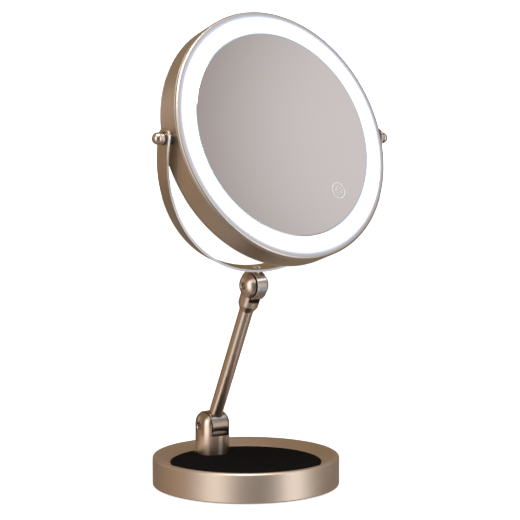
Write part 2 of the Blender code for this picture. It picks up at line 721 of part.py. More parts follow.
def make_led_board(b, side, turn):
    """A white ring board with its LEDs, on the shelves of the core frame."""
    low = SHELF_DEPTH + GAP
    high = low + LED_BOARD_THICKNESS
    outer = CHANNEL_OUTER - GAP
    inner = CHANNEL_INNER + GAP
    profile = [(outer, high), (outer, low), (inner, low), (inner, high)]
    board = b.turned(f"{side}_led_board", profile, INNER, "white_board", (0, 0, 0), turn)
    middle = (outer + inner) / 2
    angles = [2 * math.pi * (i + 0.5) / LED_COUNT for i in range(LED_COUNT)]
    height = high + LED_HEIGHT / 2 - 0.0001
    places = [(middle * math.cos(a), middle * math.sin(a), height) for a in angles]
    leds = b.boxes(f"{side}_leds", (LED_SIZE, LED_SIZE, LED_HEIGHT + 0.0002), places,
                   angles, None)
    leds.rotation_euler = TURN_TO[turn]
    join(board, leds)


def make_core_frame(b):
    """The moulded middle frame: a web, a light channel on both sides and two pivot bosses."""
    post = CHANNEL_INNER - 0.0022
    top = PANE_BACK - GAP
    shelf_in = CHANNEL_INNER + 0.0018
    shelf_out = CHANNEL_OUTER - 0.0016
    upper = [(CHANNEL_OUTER, top), (CORE_RADIUS, top)]
    lower = [(CORE_RADIUS, -top), (CHANNEL_OUTER, -top)]
    under = [(CHANNEL_OUTER, -SHELF_DEPTH), (shelf_out, -SHELF_DEPTH), (shelf_out, -WEB_HALF)]
    under += [(shelf_in, -WEB_HALF), (shelf_in, -SHELF_DEPTH), (CHANNEL_INNER, -SHELF_DEPTH)]
    under += [(CHANNEL_INNER, -top), (post, -top), (post, -WEB_HALF), (0, -WEB_HALF)]
    over = [(radius, -height) for radius, height in under[::-1]]
    profile = over + upper + lower + under
    core = b.turned("core_frame", profile, INNER, "white_plastic", (0, 0, 0), "-Y")
    boss_middle = STUD_START - 0.0010 + BOSS_LENGTH / 2
    for side, sign in (("left", -1), ("right", 1)):
        place = (sign * boss_middle, 0, 0)
        join(core, b.rod(f"core_boss_{side}", BOSS_RADIUS, BOSS_LENGTH, SMALL, None, place, "X"))
    studs = []
    for side, sign in (("left", -1), ("right", 1)):
        place = (sign * (STUD_START - GAP + REACH / 2), 0, 0)
        studs.append(b.rod(f"core_stud_drill_{side}", STUD_RADIUS + SLACK, REACH, SMALL,
                           None, place, "X"))
    notch = b.box("core_port_notch", PORT_NOTCH, None, (0, 0, PORT_NOTCH_Z))
    window = b.box("core_lead_window", LEAD_WINDOW, None, (LEAD_WINDOW_X, 0, 0))
    cut(core, *studs, notch, window)


def make_pivot(b, side, turn):
    """Stud, spacer and domed cap nut; heights run outwards along the flip axis."""
    stud = [(0, STUD_END), (0.0016, STUD_END), (STUD_RADIUS, STUD_END - 0.0004)]
    stud += [(STUD_RADIUS, STUD_START), (0, STUD_START)]
    b.turned(f"pivot_stud_{side}", stud, SMALL, "plated_steel", (0, 0, 0), turn)
    inner = HEAD_RADIUS + GAP
    outer = YOKE_RADIUS - YOKE_THICKNESS - GAP
    bore = STUD_RADIUS + SLACK
    spacer = [(SPACER_RADIUS - 0.0008, outer), (SPACER_RADIUS, outer - 0.0010)]
    spacer += [(SPACER_RADIUS, inner + 0.0010), (SPACER_RADIUS - 0.0008, inner)]
    spacer += [(bore, inner), (bore, outer)]
    b.turned(f"pivot_spacer_{side}", spacer, SMALL, "polished_nickel", (0, 0, 0), turn)
    low = YOKE_RADIUS + 2 * GAP + EAR_WASHER_THICKNESS
    nut = arc((NUT_BALL, 0), NUT_RADIUS, 0, 90, 5)
    nut = [(up, across) for across, up in nut]
    nut[0] = (0, NUT_BALL + NUT_RADIUS)
    nut += [(NUT_RADIUS, low + 0.0018), (NUT_GROOVE, low + 0.0015)]
    nut += [(NUT_GROOVE, low + 0.0011), (NUT_COLLAR, low + 0.0008), (NUT_COLLAR, low)]
    nut += [(bore, low), (bore, STUD_END + GAP), (0, STUD_END + GAP)]
    b.turned(f"cap_nut_{side}", nut, SMALL, "polished_nickel", (0, 0, 0), turn)


# ---------------------------------------------------------------- electrics in the head

def make_electrics(b):
    make_battery(b)
    make_control_board(b)
    b.rod("touch_pad", TOUCH_RADIUS, 0.0006, MIDDLE, "nylon",
          (TOUCH_X, -(PANE_BACK - GAP - 0.0003), TOUCH_Z), "Y")
    make_charge_port(b)
    make_leads(b)


def make_battery(b):
    """A flat cell on the web, under a clip that snaps over it."""
    width, depth, height = BATTERY_SIZE
    middle = -(WEB_HALF + GAP + depth / 2)
    cell = b.box("battery", BATTERY_SIZE, "battery_wrap", (0, middle, BATTERY_Z))
    edge = cell.modifiers.new("edge", "BEVEL")
    edge.width = BATTERY_EDGE
    edge.segments = 2
    room_width = width + 0.0008
    room_depth = depth + 2 * GAP
    clip_depth = depth + GAP - 0.0002 + CLIP_WALL
    outer = b.box("battery_clip", (room_width + 2 * CLIP_WALL, clip_depth, CLIP_BAND),
                  "white_plastic", (0, -(WEB_HALF + GAP + clip_depth / 2), BATTERY_Z))
    room = b.box("battery_clip_room", (room_width, room_depth, REACH), None,
                 (0, -(WEB_HALF + room_depth / 2), BATTERY_Z))
    cut(outer, room)


def make_control_board(b):
    """The driver and touch board, with its larger chips and connectors."""
    width, depth, height = BOARD_SIZE
    front = -(WEB_HALF + GAP + depth)
    board = b.box("control_board", BOARD_SIZE, "green_board",
                  (0, front + depth / 2, BOARD_Z))
    chips = (
        ("driver_chip", (0.0060, 0.0016, 0.0060), (-0.0080, 0.0040)),
        ("touch_chip", (0.0050, 0.0014, 0.0044), (0.0100, -0.0050)),
        ("coil", (0.0070, 0.0030, 0.0070), (-0.0120, -0.0080)),
        ("connector", (0.0100, 0.0034, 0.0046), (0.0100, 0.0110)),
    )
    for name, size, (across, up) in chips:
        chip = b.box(name, size, None, (across, front - size[1] / 2 + 0.0002, BOARD_Z + up))
        join(board, chip)


def make_charge_port(b):
    """A steel charging socket in the top of the band, on its own small board."""
    width, depth, height = SOCKET_SIZE
    top = HEAD_RADIUS - 0.0006
    shell = b.box("charge_socket", SOCKET_SIZE, "plated_steel", (0, 0, top - height / 2))
    hollow = b.box("socket_hollow", (width - 2 * SOCKET_WALL, depth - 2 * SOCKET_WALL, height),
                   None, (0, 0, top - height / 2 + SOCKET_WALL))
    tongue = b.box("socket_tongue", (0.0064, 0.0007, 0.0060), None,
                   (0, 0, top - height + 0.0030))
    cut(shell, hollow)
    join(shell, tongue)
    board_top = top - height - GAP
    b.box("charge_board", (0.0160, 0.0060, 0.0012), "green_board",
          (0, 0, board_top - 0.0006))


def make_leads(b):
    """Battery and charging leads, on the front of the web."""
    near = -(WEB_HALF + GAP + LEAD_RADIUS)
    front = near - 0.0022
    board_edge = BOARD_Z + BOARD_SIZE[2] / 2
    battery = [(-0.0340, near, 0.0300), (-0.0380, near, 0.0240), (-0.0380, near, 0.0000),
               (-0.0330, near, -0.0240), (-0.0240 - GAP - LEAD_RADIUS, near, -0.0340)]
    b.wire("battery_lead", smooth_path(battery, 3), LEAD_RADIUS, "lead_jacket")
    charge = [(0.0040, near, 0.0960), (0.0060, near, 0.0800), (0.0260, near, 0.0660),
              (0.0420, near, 0.0480), (0.0440, near, 0.0100), (0.0300, near, -0.0140),
              (0.0130, front, -0.0240),
              (0.0110, front, board_edge - 0.0004)]
    b.wire("charge_lead", smooth_path(charge, 3), LEAD_RADIUS, "lead_jacket")


# ---------------------------------------------------------------- assembly

def main():
    clear_scene()
    parts = new_collection("lighted_vanity_mirror")
    tools = new_collection("cutters")
    base = Builder(parts, tools, make_finishes())
    make_base(base)
    make_post(base)
    make_lower_hinge(base)
    lower_hinge = empty_at("lower_hinge", parts, (0, POST_Y, PIN_HEIGHT), ARM_LEAN)
    make_arm(base.on(lower_hinge))
    upper_hinge = empty_at("upper_hinge", parts, (0, 0, ARM_LENGTH), YOKE_LEAN - ARM_LEAN,
                           lower_hinge)
    make_yoke_parts(base.on(upper_hinge))
    flip_axis = empty_at("flip_axis", parts, (0, 0, YOKE_RISE + YOKE_RADIUS),
                         -HEAD_TILT - YOKE_LEAN, upper_hinge)
    make_head(base.on(flip_axis))
    bpy.context.view_layer.update()


main()
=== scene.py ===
"""Looks for the lighted vanity mirror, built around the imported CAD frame.

Units are metres, +Z is up and the lit face looks towards -Y. Each piece is modelled in the
frame of the body that carries it, and rides on that body.
"""

import json
import math

import bmesh
import bpy
from mathutils import Matrix, Vector


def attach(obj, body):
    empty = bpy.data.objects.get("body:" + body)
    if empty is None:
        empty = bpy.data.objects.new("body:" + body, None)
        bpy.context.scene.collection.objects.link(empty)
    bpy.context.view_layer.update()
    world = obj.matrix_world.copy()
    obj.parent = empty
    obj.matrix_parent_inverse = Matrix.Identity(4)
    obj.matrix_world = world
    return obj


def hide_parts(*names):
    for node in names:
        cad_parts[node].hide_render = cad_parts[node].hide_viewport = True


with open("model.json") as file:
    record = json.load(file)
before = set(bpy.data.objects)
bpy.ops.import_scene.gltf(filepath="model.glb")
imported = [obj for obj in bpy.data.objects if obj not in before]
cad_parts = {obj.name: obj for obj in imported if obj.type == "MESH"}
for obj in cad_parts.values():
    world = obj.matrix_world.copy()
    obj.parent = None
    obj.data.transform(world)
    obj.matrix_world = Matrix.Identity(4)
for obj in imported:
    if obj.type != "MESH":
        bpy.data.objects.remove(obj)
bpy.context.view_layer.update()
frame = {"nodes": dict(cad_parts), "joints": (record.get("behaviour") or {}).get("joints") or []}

# ---------------------------------------------------------------- places from the frame

JOINT = {joint["name"]: Vector(joint["pos_m"]) for joint in frame["joints"]}
LOWER_PIN = JOINT["arm_hinge"]
UPPER_PIN = JOINT["yoke_hinge"]
FLIP_AXIS = JOINT["head_flip"]
ARM_RUN = UPPER_PIN - LOWER_PIN
YOKE_RUN = FLIP_AXIS - UPPER_PIN
HEAD_TILT = math.radians(18.6)

# Sizes that the looks share with the CAD parts
BASE_RADIUS = 0.0800
BASE_HEIGHT = 0.0259
SHELL_BOTTOM = 0.0010
TRAY_RADIUS = 0.0648
TRAY_FLOOR = 0.0184
RIM_INNER = 0.0762
PAD_LOW = 0.0187
PAD_THICKNESS = 0.0012
POST_RADIUS = 0.0149
POST_RISE = 0.0131
POST_TOP_ROUND = 0.0115
POST_SLOT_HALF = 0.0093
POST_SLOT_DROP = 0.0085
BARREL_RADIUS = 0.0125
BARREL_HALF = 0.0084
PIN_RADIUS = 0.0025
LOWER_BOLT_HALF = 0.0134
UPPER_BOLT_HALF = 0.0113
TUBE_RADIUS = 0.0060
BALL_RADIUS = 0.0124
NECK_RADIUS = 0.0087
NECK_DROP = 0.0185
TAPER_DROP = 0.0243
FORK_SLOT_HALF = 0.0060
FORK_SLOT_DROP = 0.0132
TONGUE_RADIUS = 0.0127
TONGUE_HALF = 0.0051
YOKE_RISE = 0.0138
YOKE_RADIUS = 0.1134
YOKE_THICKNESS = 0.0020
YOKE_HALF_WIDTH = 0.00715
EAR_CENTRE = 0.0010
HEAD_RADIUS = 0.1064
HEAD_HALF = 0.0124
BAND_HALF = 0.0098
RING_OUTER = 0.1011
RING_INNER = 0.0873
PANE_FRONT = 0.0122
PANE_BACK = 0.0093
MAGNIFIER_SAG = 0.0038
CORE_RADIUS = 0.1018
TOUCH_X = 0.0447
TOUCH_Z = -0.0497
MARK_HALF = 0.00002
STUD_HOLE = 0.0023
GAP = 0.0003

# Half lengths of the tools that cut through a hinge part, and through a thin wall
LONG_CUT = 0.0200
SHORT_CUT = 0.0100

# Camera and stage, with angles in degrees
CAMERA_AZIMUTH = -38.465
CAMERA_ELEVATION = 4.618
CAMERA_DISTANCE = 1.3492
CAMERA_TARGET = Vector((0.00945, -0.00751, 0.19262))
CAMERA_LENS = 110.06
STAGE_RADIUS = 6.0
LIGHT_DISTANCE = 2.2
LIGHT_TARGET = Vector((0, 0, 0.20))
WATTS_FOR_GLOW = 4.0    # for each square metre of a light whose face has a brightness of 1

FINE = 160      # steps round the large turned pieces
MEDIUM = 96     # steps round the post and the hinge parts
SMALL = 48      # steps round pins, nuts and screws


def leaning(place, run):
    """The frame of a body whose +Z lies along run, in the YZ plane."""
    return Matrix.Translation(place) @ Matrix.Rotation(math.atan2(-run.y, run.z), 4, "X")


WORLD = Matrix.Identity(4)
ARM = leaning(LOWER_PIN, ARM_RUN)
YOKE = leaning(UPPER_PIN, YOKE_RUN)
HEAD = Matrix.Translation(FLIP_AXIS) @ Matrix.Rotation(-HEAD_TILT, 4, "X")
TURN = {
    "X": Matrix.Rotation(math.pi / 2, 4, "Y"),
    "-X": Matrix.Rotation(-math.pi / 2, 4, "Y"),
    "Y": Matrix.Rotation(-math.pi / 2, 4, "X"),
    "-Y": Matrix.Rotation(math.pi / 2, 4, "X"),
}
SIDEWAYS = Matrix.Rotation(math.pi / 2, 4, "Z") @ TURN["-Y"]     # a side view, thick along X


# ---------------------------------------------------------------- material helpers

class Shader:
    """A material with one Principled shader and short calls for its nodes."""

    def __init__(self, name):
        self.material = bpy.data.materials.new(name)
        self.material.use_nodes = True
        self.tree = self.material.node_tree
        self.tree.nodes.clear()
        self.output = self.tree.nodes.new("ShaderNodeOutputMaterial")
        self.surface = self.tree.nodes.new("ShaderNodeBsdfPrincipled")
        self.join(self.surface.outputs[0], self.output.inputs["Surface"])
        self.position = self.tree.nodes.new("ShaderNodeTexCoord").outputs["Object"]

    def join(self, source, target):
        self.tree.links.new(source, target)

    def plain(self, **values):
        """Set the shader's own sockets; an underscore stands for a space in a name."""
        for name, value in values.items():
            socket = self.surface.inputs[name.replace("_", " ")]
            socket.default_value = (*value, 1.0) if isinstance(value, tuple) else value

    def feed(self, name, source):
        self.join(source, self.surface.inputs[name])

    def split(self):
        """The three outputs of the position: X, Y and Z."""
        node = self.tree.nodes.new("ShaderNodeSeparateXYZ")
        self.join(self.position, node.inputs[0])
        return node.outputs

    def radius(self):
        """The distance from the piece's own axis."""
        x, y, _ = self.split()
        squares = self.math("ADD", self.math("MULTIPLY", x, x), self.math("MULTIPLY", y, y))
        return self.math("SQRT", squares)

    def lathe_lines(self, along):
        """A vector of radius, angle times along, and height, for turned brushing."""
        x, y, z = self.split()
        merge = self.tree.nodes.new("ShaderNodeCombineXYZ")
        self.join(self.radius(), merge.inputs[0])
        self.join(self.math("MULTIPLY", self.math("ARCTAN2", y, x), along), merge.inputs[1])
        self.join(z, merge.inputs[2])
        return merge.outputs[0]

    def noise(self, vector, scale, detail=2.0, rough=0.5):
        node = self.tree.nodes.new("ShaderNodeTexNoise")
        self.join(vector, node.inputs["Vector"])
        node.inputs["Scale"].default_value = scale
        node.inputs["Detail"].default_value = detail
        node.inputs["Roughness"].default_value = rough
        return node.outputs["Fac"]

    def cells(self, vector, scale):
        node = self.tree.nodes.new("ShaderNodeTexVoronoi")
        self.join(vector, node.inputs["Vector"])
        node.inputs["Scale"].default_value = scale
        return node.outputs["Distance"]

    def math(self, operation, first, second=0.0):
        node = self.tree.nodes.new("ShaderNodeMath")
        node.operation = operation
        for socket, value in zip(node.inputs, (first, second)):
            if isinstance(value, (int, float)):
                socket.default_value = value
            else:
                self.join(value, socket)
        return node.outputs[0]

    def spread(self, value, low, high, start=0.0, end=1.0):
        """Map value from start..end to low..high."""
        node = self.tree.nodes.new("ShaderNodeMapRange")
        self.join(value, node.inputs["Value"])
        node.inputs["From Min"].default_value = start
        node.inputs["From Max"].default_value = end
        node.inputs["To Min"].default_value = low
        node.inputs["To Max"].default_value = high
        return node.outputs["Result"]

    def ramp(self, value, stops):
        node = self.tree.nodes.new("ShaderNodeValToRGB")
        self.join(value, node.inputs["Fac"])
        while len(node.color_ramp.elements) < len(stops):
            node.color_ramp.elements.new(1.0)
        for element, (place, colour) in zip(node.color_ramp.elements, stops):
            element.position = place
            element.color = (*colour, 1.0)
        return node.outputs["Color"]

    def bump(self, height, strength, distance):
        node = self.tree.nodes.new("ShaderNodeBump")
        node.inputs["Strength"].default_value = strength
        node.inputs["Distance"].default_value = distance
        self.join(height, node.inputs["Height"])
        self.feed("Normal", node.outputs["Normal"])


def shade(colour, factor):
    return tuple(min(1.0, c * factor) for c in colour)


NICKEL = (0.66, 0.555, 0.468)


def satin_nickel(name, roughness, colour=NICKEL):
    """Fine blasted satin plating: an even micro grain and a slow drift in tone."""
    m = Shader(name)
    grain = m.noise(m.position, 4200.0, 3.0, 0.6)
    drift = m.noise(m.position, 26.0, 3.0, 0.55)
    m.plain(Metallic=1.0)
    m.feed("Base Color", m.ramp(drift, [(0.30, shade(colour, 0.965)), (0.70, shade(colour, 1.03))]))
    m.feed("Roughness", m.spread(m.math("ADD", grain, m.math("MULTIPLY", drift, 0.5)),
                                 roughness - 0.05, roughness + 0.05, 0.45, 1.05))
    m.bump(grain, 0.10, 0.00006)
    return m.material


def brushed_nickel(name, roughness, stretch, colour=NICKEL):
    """Fine brush lines round the axis of a turned piece.

    stretch spreads the highlights across the lines, as real brushing does.
    """
    m = Shader(name)
    lines = m.noise(m.lathe_lines(0.0015), 2600.0, 4.0, 0.65)
    drift = m.noise(m.position, 60.0, 3.0, 0.5)
    m.plain(Metallic=1.0, Anisotropic=stretch, Anisotropic_Rotation=0.25)
    m.feed("Base Color", m.ramp(drift, [(0.30, shade(colour, 0.96)), (0.70, shade(colour, 1.03))]))
    m.feed("Roughness", m.spread(lines, roughness - 0.025, roughness + 0.03, 0.3, 0.7))
    m.bump(lines, 0.05, 0.00004)
    return m.material


def polished_nickel(name, roughness, colour=(0.73, 0.685, 0.635)):
    m = Shader(name)
    haze = m.noise(m.position, 520.0, 4.0, 0.6)
    m.plain(Metallic=1.0)
    m.feed("Base Color", m.ramp(haze, [(0.35, shade(colour, 0.95)), (0.7, shade(colour, 1.05))]))
    m.feed("Roughness", m.spread(haze, roughness - 0.03, roughness + 0.04, 0.35, 0.7))
    return m.material


def plated_steel(name, colour):
    m = Shader(name)
    bloom = m.noise(m.position, 700.0, 4.0, 0.6)
    m.plain(Metallic=1.0)
    m.feed("Base Color", m.ramp(bloom, [(0.35, shade(colour, 0.88)), (0.65, shade(colour, 1.10))]))
    m.feed("Roughness", m.spread(bloom, 0.24, 0.40, 0.3, 0.7))
    m.bump(bloom, 0.15, 0.00005)
    return m.material


def black_foam():
    """Closed-cell black tray liner: fine cells and a slow mottle in tone."""
    m = Shader("black_tray_foam")
    cell = m.cells(m.position, 2600.0)
    mottle = m.noise(m.position, 240.0, 4.0, 0.6)
    m.feed("Base Color", m.ramp(mottle, [(0.3, (0.0035, 0.0034, 0.0040)),
                                         (0.75, (0.0066, 0.0062, 0.0070))]))
    m.feed("Roughness", m.spread(mottle, 0.80, 0.94, 0.3, 0.7))
    m.plain(Specular_IOR_Level=0.04)
    m.bump(m.math("ADD", cell, m.math("MULTIPLY", mottle, 0.6)), 0.35, 0.00012)
    return m.material


def silvered_glass(name):
    """Mirror silvering behind clear glass, darker and greener at its ground edge."""
    m = Shader(name)
    edge = m.spread(m.radius(), 0.0, 1.0, RING_INNER - 0.0020, RING_INNER - 0.0002)
    smear = m.noise(m.position, 34.0, 5.0, 0.6)
    m.plain(Metallic=1.0)
    m.feed("Base Color", m.ramp(edge, [(0.0, (0.905, 0.875, 0.87)), (0.55, (0.85, 0.83, 0.825)),
                                       (1.0, (0.60, 0.62, 0.60))]))
    m.feed("Roughness", m.spread(smear, 0.012, 0.035, 0.35, 0.7))
    return m.material


def lit_acrylic():
    """The lit ring: white in the middle, a thin cold fringe at both borders."""
    m = Shader("lit_opal_ring")
    across = m.spread(m.radius(), 0.0, 1.0, RING_INNER, RING_OUTER)
    colour = m.ramp(across, [(0.0, (0.46, 0.70, 1.0)), (0.08, (0.70, 0.86, 1.0)),
                             (0.18, (1.0, 1.0, 1.0)), (0.82, (1.0, 1.0, 1.0)),
                             (0.91, (0.76, 0.87, 1.0)), (1.0, (0.60, 0.70, 0.86))])
    strength = m.ramp(across, [(0.0, (0.55, 0.55, 0.55)), (0.10, (0.95, 0.95, 0.95)),
                               (0.20, (1.0, 1.0, 1.0)), (0.80, (1.0, 1.0, 1.0)),
                               (0.90, (0.80, 0.80, 0.80)), (1.0, (0.42, 0.42, 0.42))])
    body = m.ramp(across, [(0.0, (0.40, 0.50, 0.66)), (0.07, (0.90, 0.92, 0.94)),
                           (0.86, (0.90, 0.92, 0.94)), (1.0, (0.34, 0.40, 0.50))])
    m.plain(Roughness=0.35)
    m.feed("Base Color", body)
    m.feed("Emission Color", colour)
    m.feed("Emission Strength", m.math("MULTIPLY", strength, 1.35))
    return m.material


def trim_with_painted_glow(name, roughness, colour):
    """Satin plating with a painted glow along its inner border: emission that stands in for the lit
    ring's light falling on the trim.
    """
    m = Shader(name)
    grain = m.noise(m.position, 4200.0, 3.0, 0.6)
    across = m.spread(m.radius(), 0.0, 1.0, RING_OUTER, HEAD_RADIUS)
    m.plain(Metallic=1.0, Emission_Strength=1.0)
    m.feed("Base Color", m.ramp(grain, [(0.30, shade(colour, 0.97)), (0.70, shade(colour, 1.03))]))
    m.feed("Roughness", m.spread(grain, roughness - 0.04, roughness + 0.04, 0.3, 0.7))
    # Painted glow: a cold emission next to the lit ring, fading out towards the outer edge, in place
    # of the ring's light on the metal.
    m.feed("Emission Color", m.ramp(across, [(0.0, (0.34, 0.45, 0.62)), (0.30, (0.12, 0.16, 0.23)),
                                             (0.62, (0.02, 0.03, 0.04)), (0.80, (0.0, 0.0, 0.0))]))
    m.bump(grain, 0.12, 0.00005)
    return m.material


def etched_mark():
    m = Shader("etched_touch_mark")
    frost = m.noise(m.position, 3000.0, 3.0, 0.6)
    m.plain(Metallic=0.25)
    m.feed("Base Color", m.ramp(frost, [(0.3, (0.57, 0.59, 0.62)), (0.7, (0.64, 0.66, 0.69))]))
    m.feed("Roughness", m.spread(frost, 0.42, 0.60, 0.3, 0.7))
    return m.material


def moulded_plastic(name, colour, roughness):
    m = Shader(name)
    grain = m.noise(m.position, 2400.0, 3.0, 0.6)
    drift = m.noise(m.position, 40.0, 3.0, 0.5)
    m.feed("Base Color", m.ramp(drift, [(0.3, shade(colour, 0.95)), (0.7, shade(colour, 1.03))]))
    m.feed("Roughness", m.spread(grain, roughness - 0.06, roughness + 0.08, 0.3, 0.7))
    m.bump(grain, 0.2, 0.00005)
    return m.material


def cast_iron():
    m = Shader("rough_cast_iron")
    lumps = m.noise(m.position, 420.0, 5.0, 0.65)
    m.plain(Metallic=0.85)
    m.feed("Base Color", m.ramp(lumps, [(0.3, (0.07, 0.066, 0.064)), (0.7, (0.17, 0.155, 0.148))]))
    m.feed("Roughness", m.spread(lumps, 0.50, 0.75, 0.3, 0.7))
    m.bump(lumps, 0.6, 0.0003)
    return m.material


# ---------------------------------------------------------------- shape helpers

def rounded(corners):
    """A profile from (radius, height, fillet) corners, with each fillet as an arc."""
    points = []
    count = len(corners)
    for i, (r, z, fillet) in enumerate(corners):
        corner = Vector((r, z))
        if fillet <= 0:
            points.append(corner)
            continue
        before = Vector(corners[i - 1][:2]) - corner
        after = Vector(corners[(i + 1) % count][:2]) - corner
        points += fillet_arc(corner, before.normalized(), after.normalized(), fillet)
    return [(p.x, p.y) for p in points]


def fillet_arc(corner, before, after, radius):
    """The arc that rounds a corner whose sides leave it along before and after."""
    opening = before.angle(after)
    reach = radius / math.tan(opening / 2)
    centre = corner + (before + after).normalized() * (radius / math.sin(opening / 2))
    start = corner + before * reach - centre
    end = corner + after * reach - centre
    sweep = start.angle_signed(end)
    steps = max(2, round(abs(sweep) / math.radians(13)))
    arc_points = []
    for i in range(steps + 1):
        turn = Matrix.Rotation(-sweep * i / steps, 2)
        arc_points.append(centre + turn @ start)
    return arc_points


def arc(centre, radius, start, end, steps):
    """Points (across, up) on an arc, with angles in degrees."""
    points = []
    for i in range(steps + 1):
        angle = math.radians(start + (end - start) * i / steps)
        points.append((centre[0] + radius * math.cos(angle),
                       centre[1] + radius * math.sin(angle)))
    return points


def new_object(name, mesh, matrix, material=None):
    item = bpy.data.objects.new(name, mesh)
    bpy.context.scene.collection.objects.link(item)
    item.matrix_world = matrix
    if material is not None:
        mesh.materials.append(material)
    return item


def turned(name, profile, matrix, material, steps=FINE):
    """Turn (radius, height) points, listed down the outer side from the top."""
    shape = bmesh.new()
    closed = profile[0][0] > 0
    rows = []
    for radius, height in profile:
        if radius < 1e-9:
            rows.append([shape.verts.new((0, 0, height))])
            continue
        ring = []
        for i in range(steps):
            angle = 2 * math.pi * (i + 0.5) / steps
            ring.append(shape.verts.new((radius * math.cos(angle), radius * math.sin(angle),
                                         height)))
        rows.append(ring)
    pairs = list(zip(rows, rows[1:])) + ([(rows[-1], rows[0])] if closed else [])
    for upper, lower in pairs:
        join_rows(shape, upper, lower, steps)
    mesh = bpy.data.meshes.new(name)
    shape.to_mesh(mesh)
    shape.free()
    mesh.shade_smooth()
    return new_object(name, mesh, matrix, material)


def join_rows(shape, upper, lower, steps):
    for i in range(steps):
        j = (i + 1) % steps
        if len(upper) == 1 and len(lower) == 1:
            return
        if len(upper) == 1:
            shape.faces.new((upper[0], lower[i], lower[j]))
        elif len(lower) == 1:
            shape.faces.new((upper[i], lower[0], upper[j]))
        else:
            shape.faces.new((upper[i], lower[i], lower[j], upper[j]))


def prism(name, outline, half, matrix, material=None):
    """An outline in local XY, given a thickness along local Z."""
    shape = bmesh.new()
    low = [shape.verts.new((x, y, -half)) for x, y in outline]
    high = [shape.verts.new((x, y, half)) for x, y in outline]
    shape.faces.new(low[::-1])
    shape.faces.new(high)
    for i in range(len(outline)):
        j = (i + 1) % len(outline)
        shape.faces.new((low[i], low[j], high[j], high[i]))
    bmesh.ops.recalc_face_normals(shape, faces=shape.faces)
    mesh = bpy.data.meshes.new(name)
    shape.to_mesh(mesh)
    shape.free()
    mesh.shade_smooth()
    return new_object(name, mesh, matrix, material)


def rod(name, radius, half, matrix, material=None, steps=MEDIUM):
    return turned(name, [(0, half), (radius, half), (radius, -half), (0, -half)], matrix,
                  material, steps)


def block(name, size, matrix, material=None):
    x, y, z = size
    outline = [(-x / 2, -y / 2), (x / 2, -y / 2), (x / 2, y / 2), (-x / 2, y / 2)]
    return prism(name, outline, z / 2, matrix, material)


def at(x=0.0, y=0.0, z=0.0):
    return Matrix.Translation((x, y, z))


def combine(target, tool, operation="DIFFERENCE"):
    """Apply a Boolean with tool at once, and remove the tool."""
    bpy.context.view_layer.update()
    modifier = target.modifiers.new("combine", "BOOLEAN")
    modifier.operation = operation
    modifier.solver = "EXACT"
    modifier.object = tool
    bake(target)
    bpy.data.objects.remove(tool, do_unlink=True)


def bake(item):
    """Put an object's modifiers into its mesh."""
    bpy.context.view_layer.update()
    drawn = item.evaluated_get(bpy.context.evaluated_depsgraph_get())
    mesh = bpy.data.meshes.new_from_object(drawn)
    item.modifiers.clear()
    item.data = mesh


def soften(item, width, segments=3, angle=32.0):
    """Round the sharp edges a little, and keep the broad faces flat."""
    bevel = item.modifiers.new("bevel", "BEVEL")
    bevel.width = width
    bevel.segments = segments
    bevel.limit_method = "ANGLE"
    bevel.angle_limit = math.radians(angle)
    bevel.use_clamp_overlap = True
    bevel.harden_normals = False
    keep_flat(item)


def keep_flat(item):
    weigh = item.modifiers.new("flat_faces", "WEIGHTED_NORMAL")
    weigh.mode = "FACE_AREA_WITH_ANGLE"
    weigh.keep_sharp = True


def fit(item, body, slot, *nodes):
    """Hand a finished piece to its body and hide the CAD nodes it stands for; slot is not used."""
    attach(item, body)
    if nodes:
        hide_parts(*nodes)
    return item


# ---------------------------------------------------------------- base and post

def make_base(look):
    make_base_shell(look)
    make_tray_pad(look)
    make_post(look)
    make_bolt("lower_bolt", "base", at(*LOWER_PIN), LOWER_BOLT_HALF, look, "lower_hinge_bolt")


def make_base_shell(look):
    wall = 0.0022
    inside = BASE_RADIUS - wall
    ceiling = TRAY_FLOOR - 0.0020
    profile = rounded([
        (0, TRAY_FLOOR, 0), (TRAY_RADIUS, TRAY_FLOOR, 0),
        (TRAY_RADIUS, TRAY_FLOOR + 0.0014, 0.0005), (RIM_INNER, BASE_HEIGHT - 0.0001, 0.0050),
        (BASE_RADIUS, BASE_HEIGHT, 0.0024), (BASE_RADIUS, SHELL_BOTTOM, 0.0012),
        (inside, SHELL_BOTTOM, 0.0004), (inside, BASE_HEIGHT - 0.0040, 0.0010),
        (RIM_INNER, BASE_HEIGHT - 0.0027, 0), (TRAY_RADIUS + wall, ceiling, 0),
        (0, ceiling, 0)])
    shell = turned("base_tray", profile, WORLD, look["satin_base"])
    keep_flat(shell)
    fit(shell, "base", "satin_nickel", "base_shell")


def make_tray_pad(look):
    """The liner, with a keyhole notch round the post that runs out at the back."""
    radius = TRAY_RADIUS - GAP
    clear = POST_RADIUS + 0.0005
    throat = 0.0100
    post_y = LOWER_PIN.y
    mouth = math.degrees(math.asin(throat / radius))
    bite = math.degrees(math.asin(throat / clear))
    outline = arc((0, 0), radius, 90 + mouth, 450 - mouth, 180)
    outline += arc((0, post_y), clear, 90 - bite, -270 + bite, 64)
    pad = prism("tray_liner", outline, PAD_THICKNESS / 2,
                at(z=PAD_LOW + PAD_THICKNESS / 2), look["black_foam"])
    soften(pad, 0.0004, 2)
    fit(pad, "base", "black_foam", "base_pad")


def make_post(look):
    top = LOWER_PIN.z + POST_RISE
    profile = rounded([(0, top, 0), (POST_RADIUS, top, POST_TOP_ROUND),
                       (POST_RADIUS, TRAY_FLOOR + GAP, 0.0004), (0, TRAY_FLOOR + GAP, 0)])
    post = turned("round_post", profile, at(y=LOWER_PIN.y), look["shade_painted_post"], MEDIUM)
    pin = at(*LOWER_PIN)
    combine(post, prism("slot", barrel_room(), POST_SLOT_HALF, pin @ SIDEWAYS))
    drill_for_bolt(post, pin, POST_RADIUS)
    soften(post, 0.00035)
    fit(post, "base", "satin_nickel", "post")


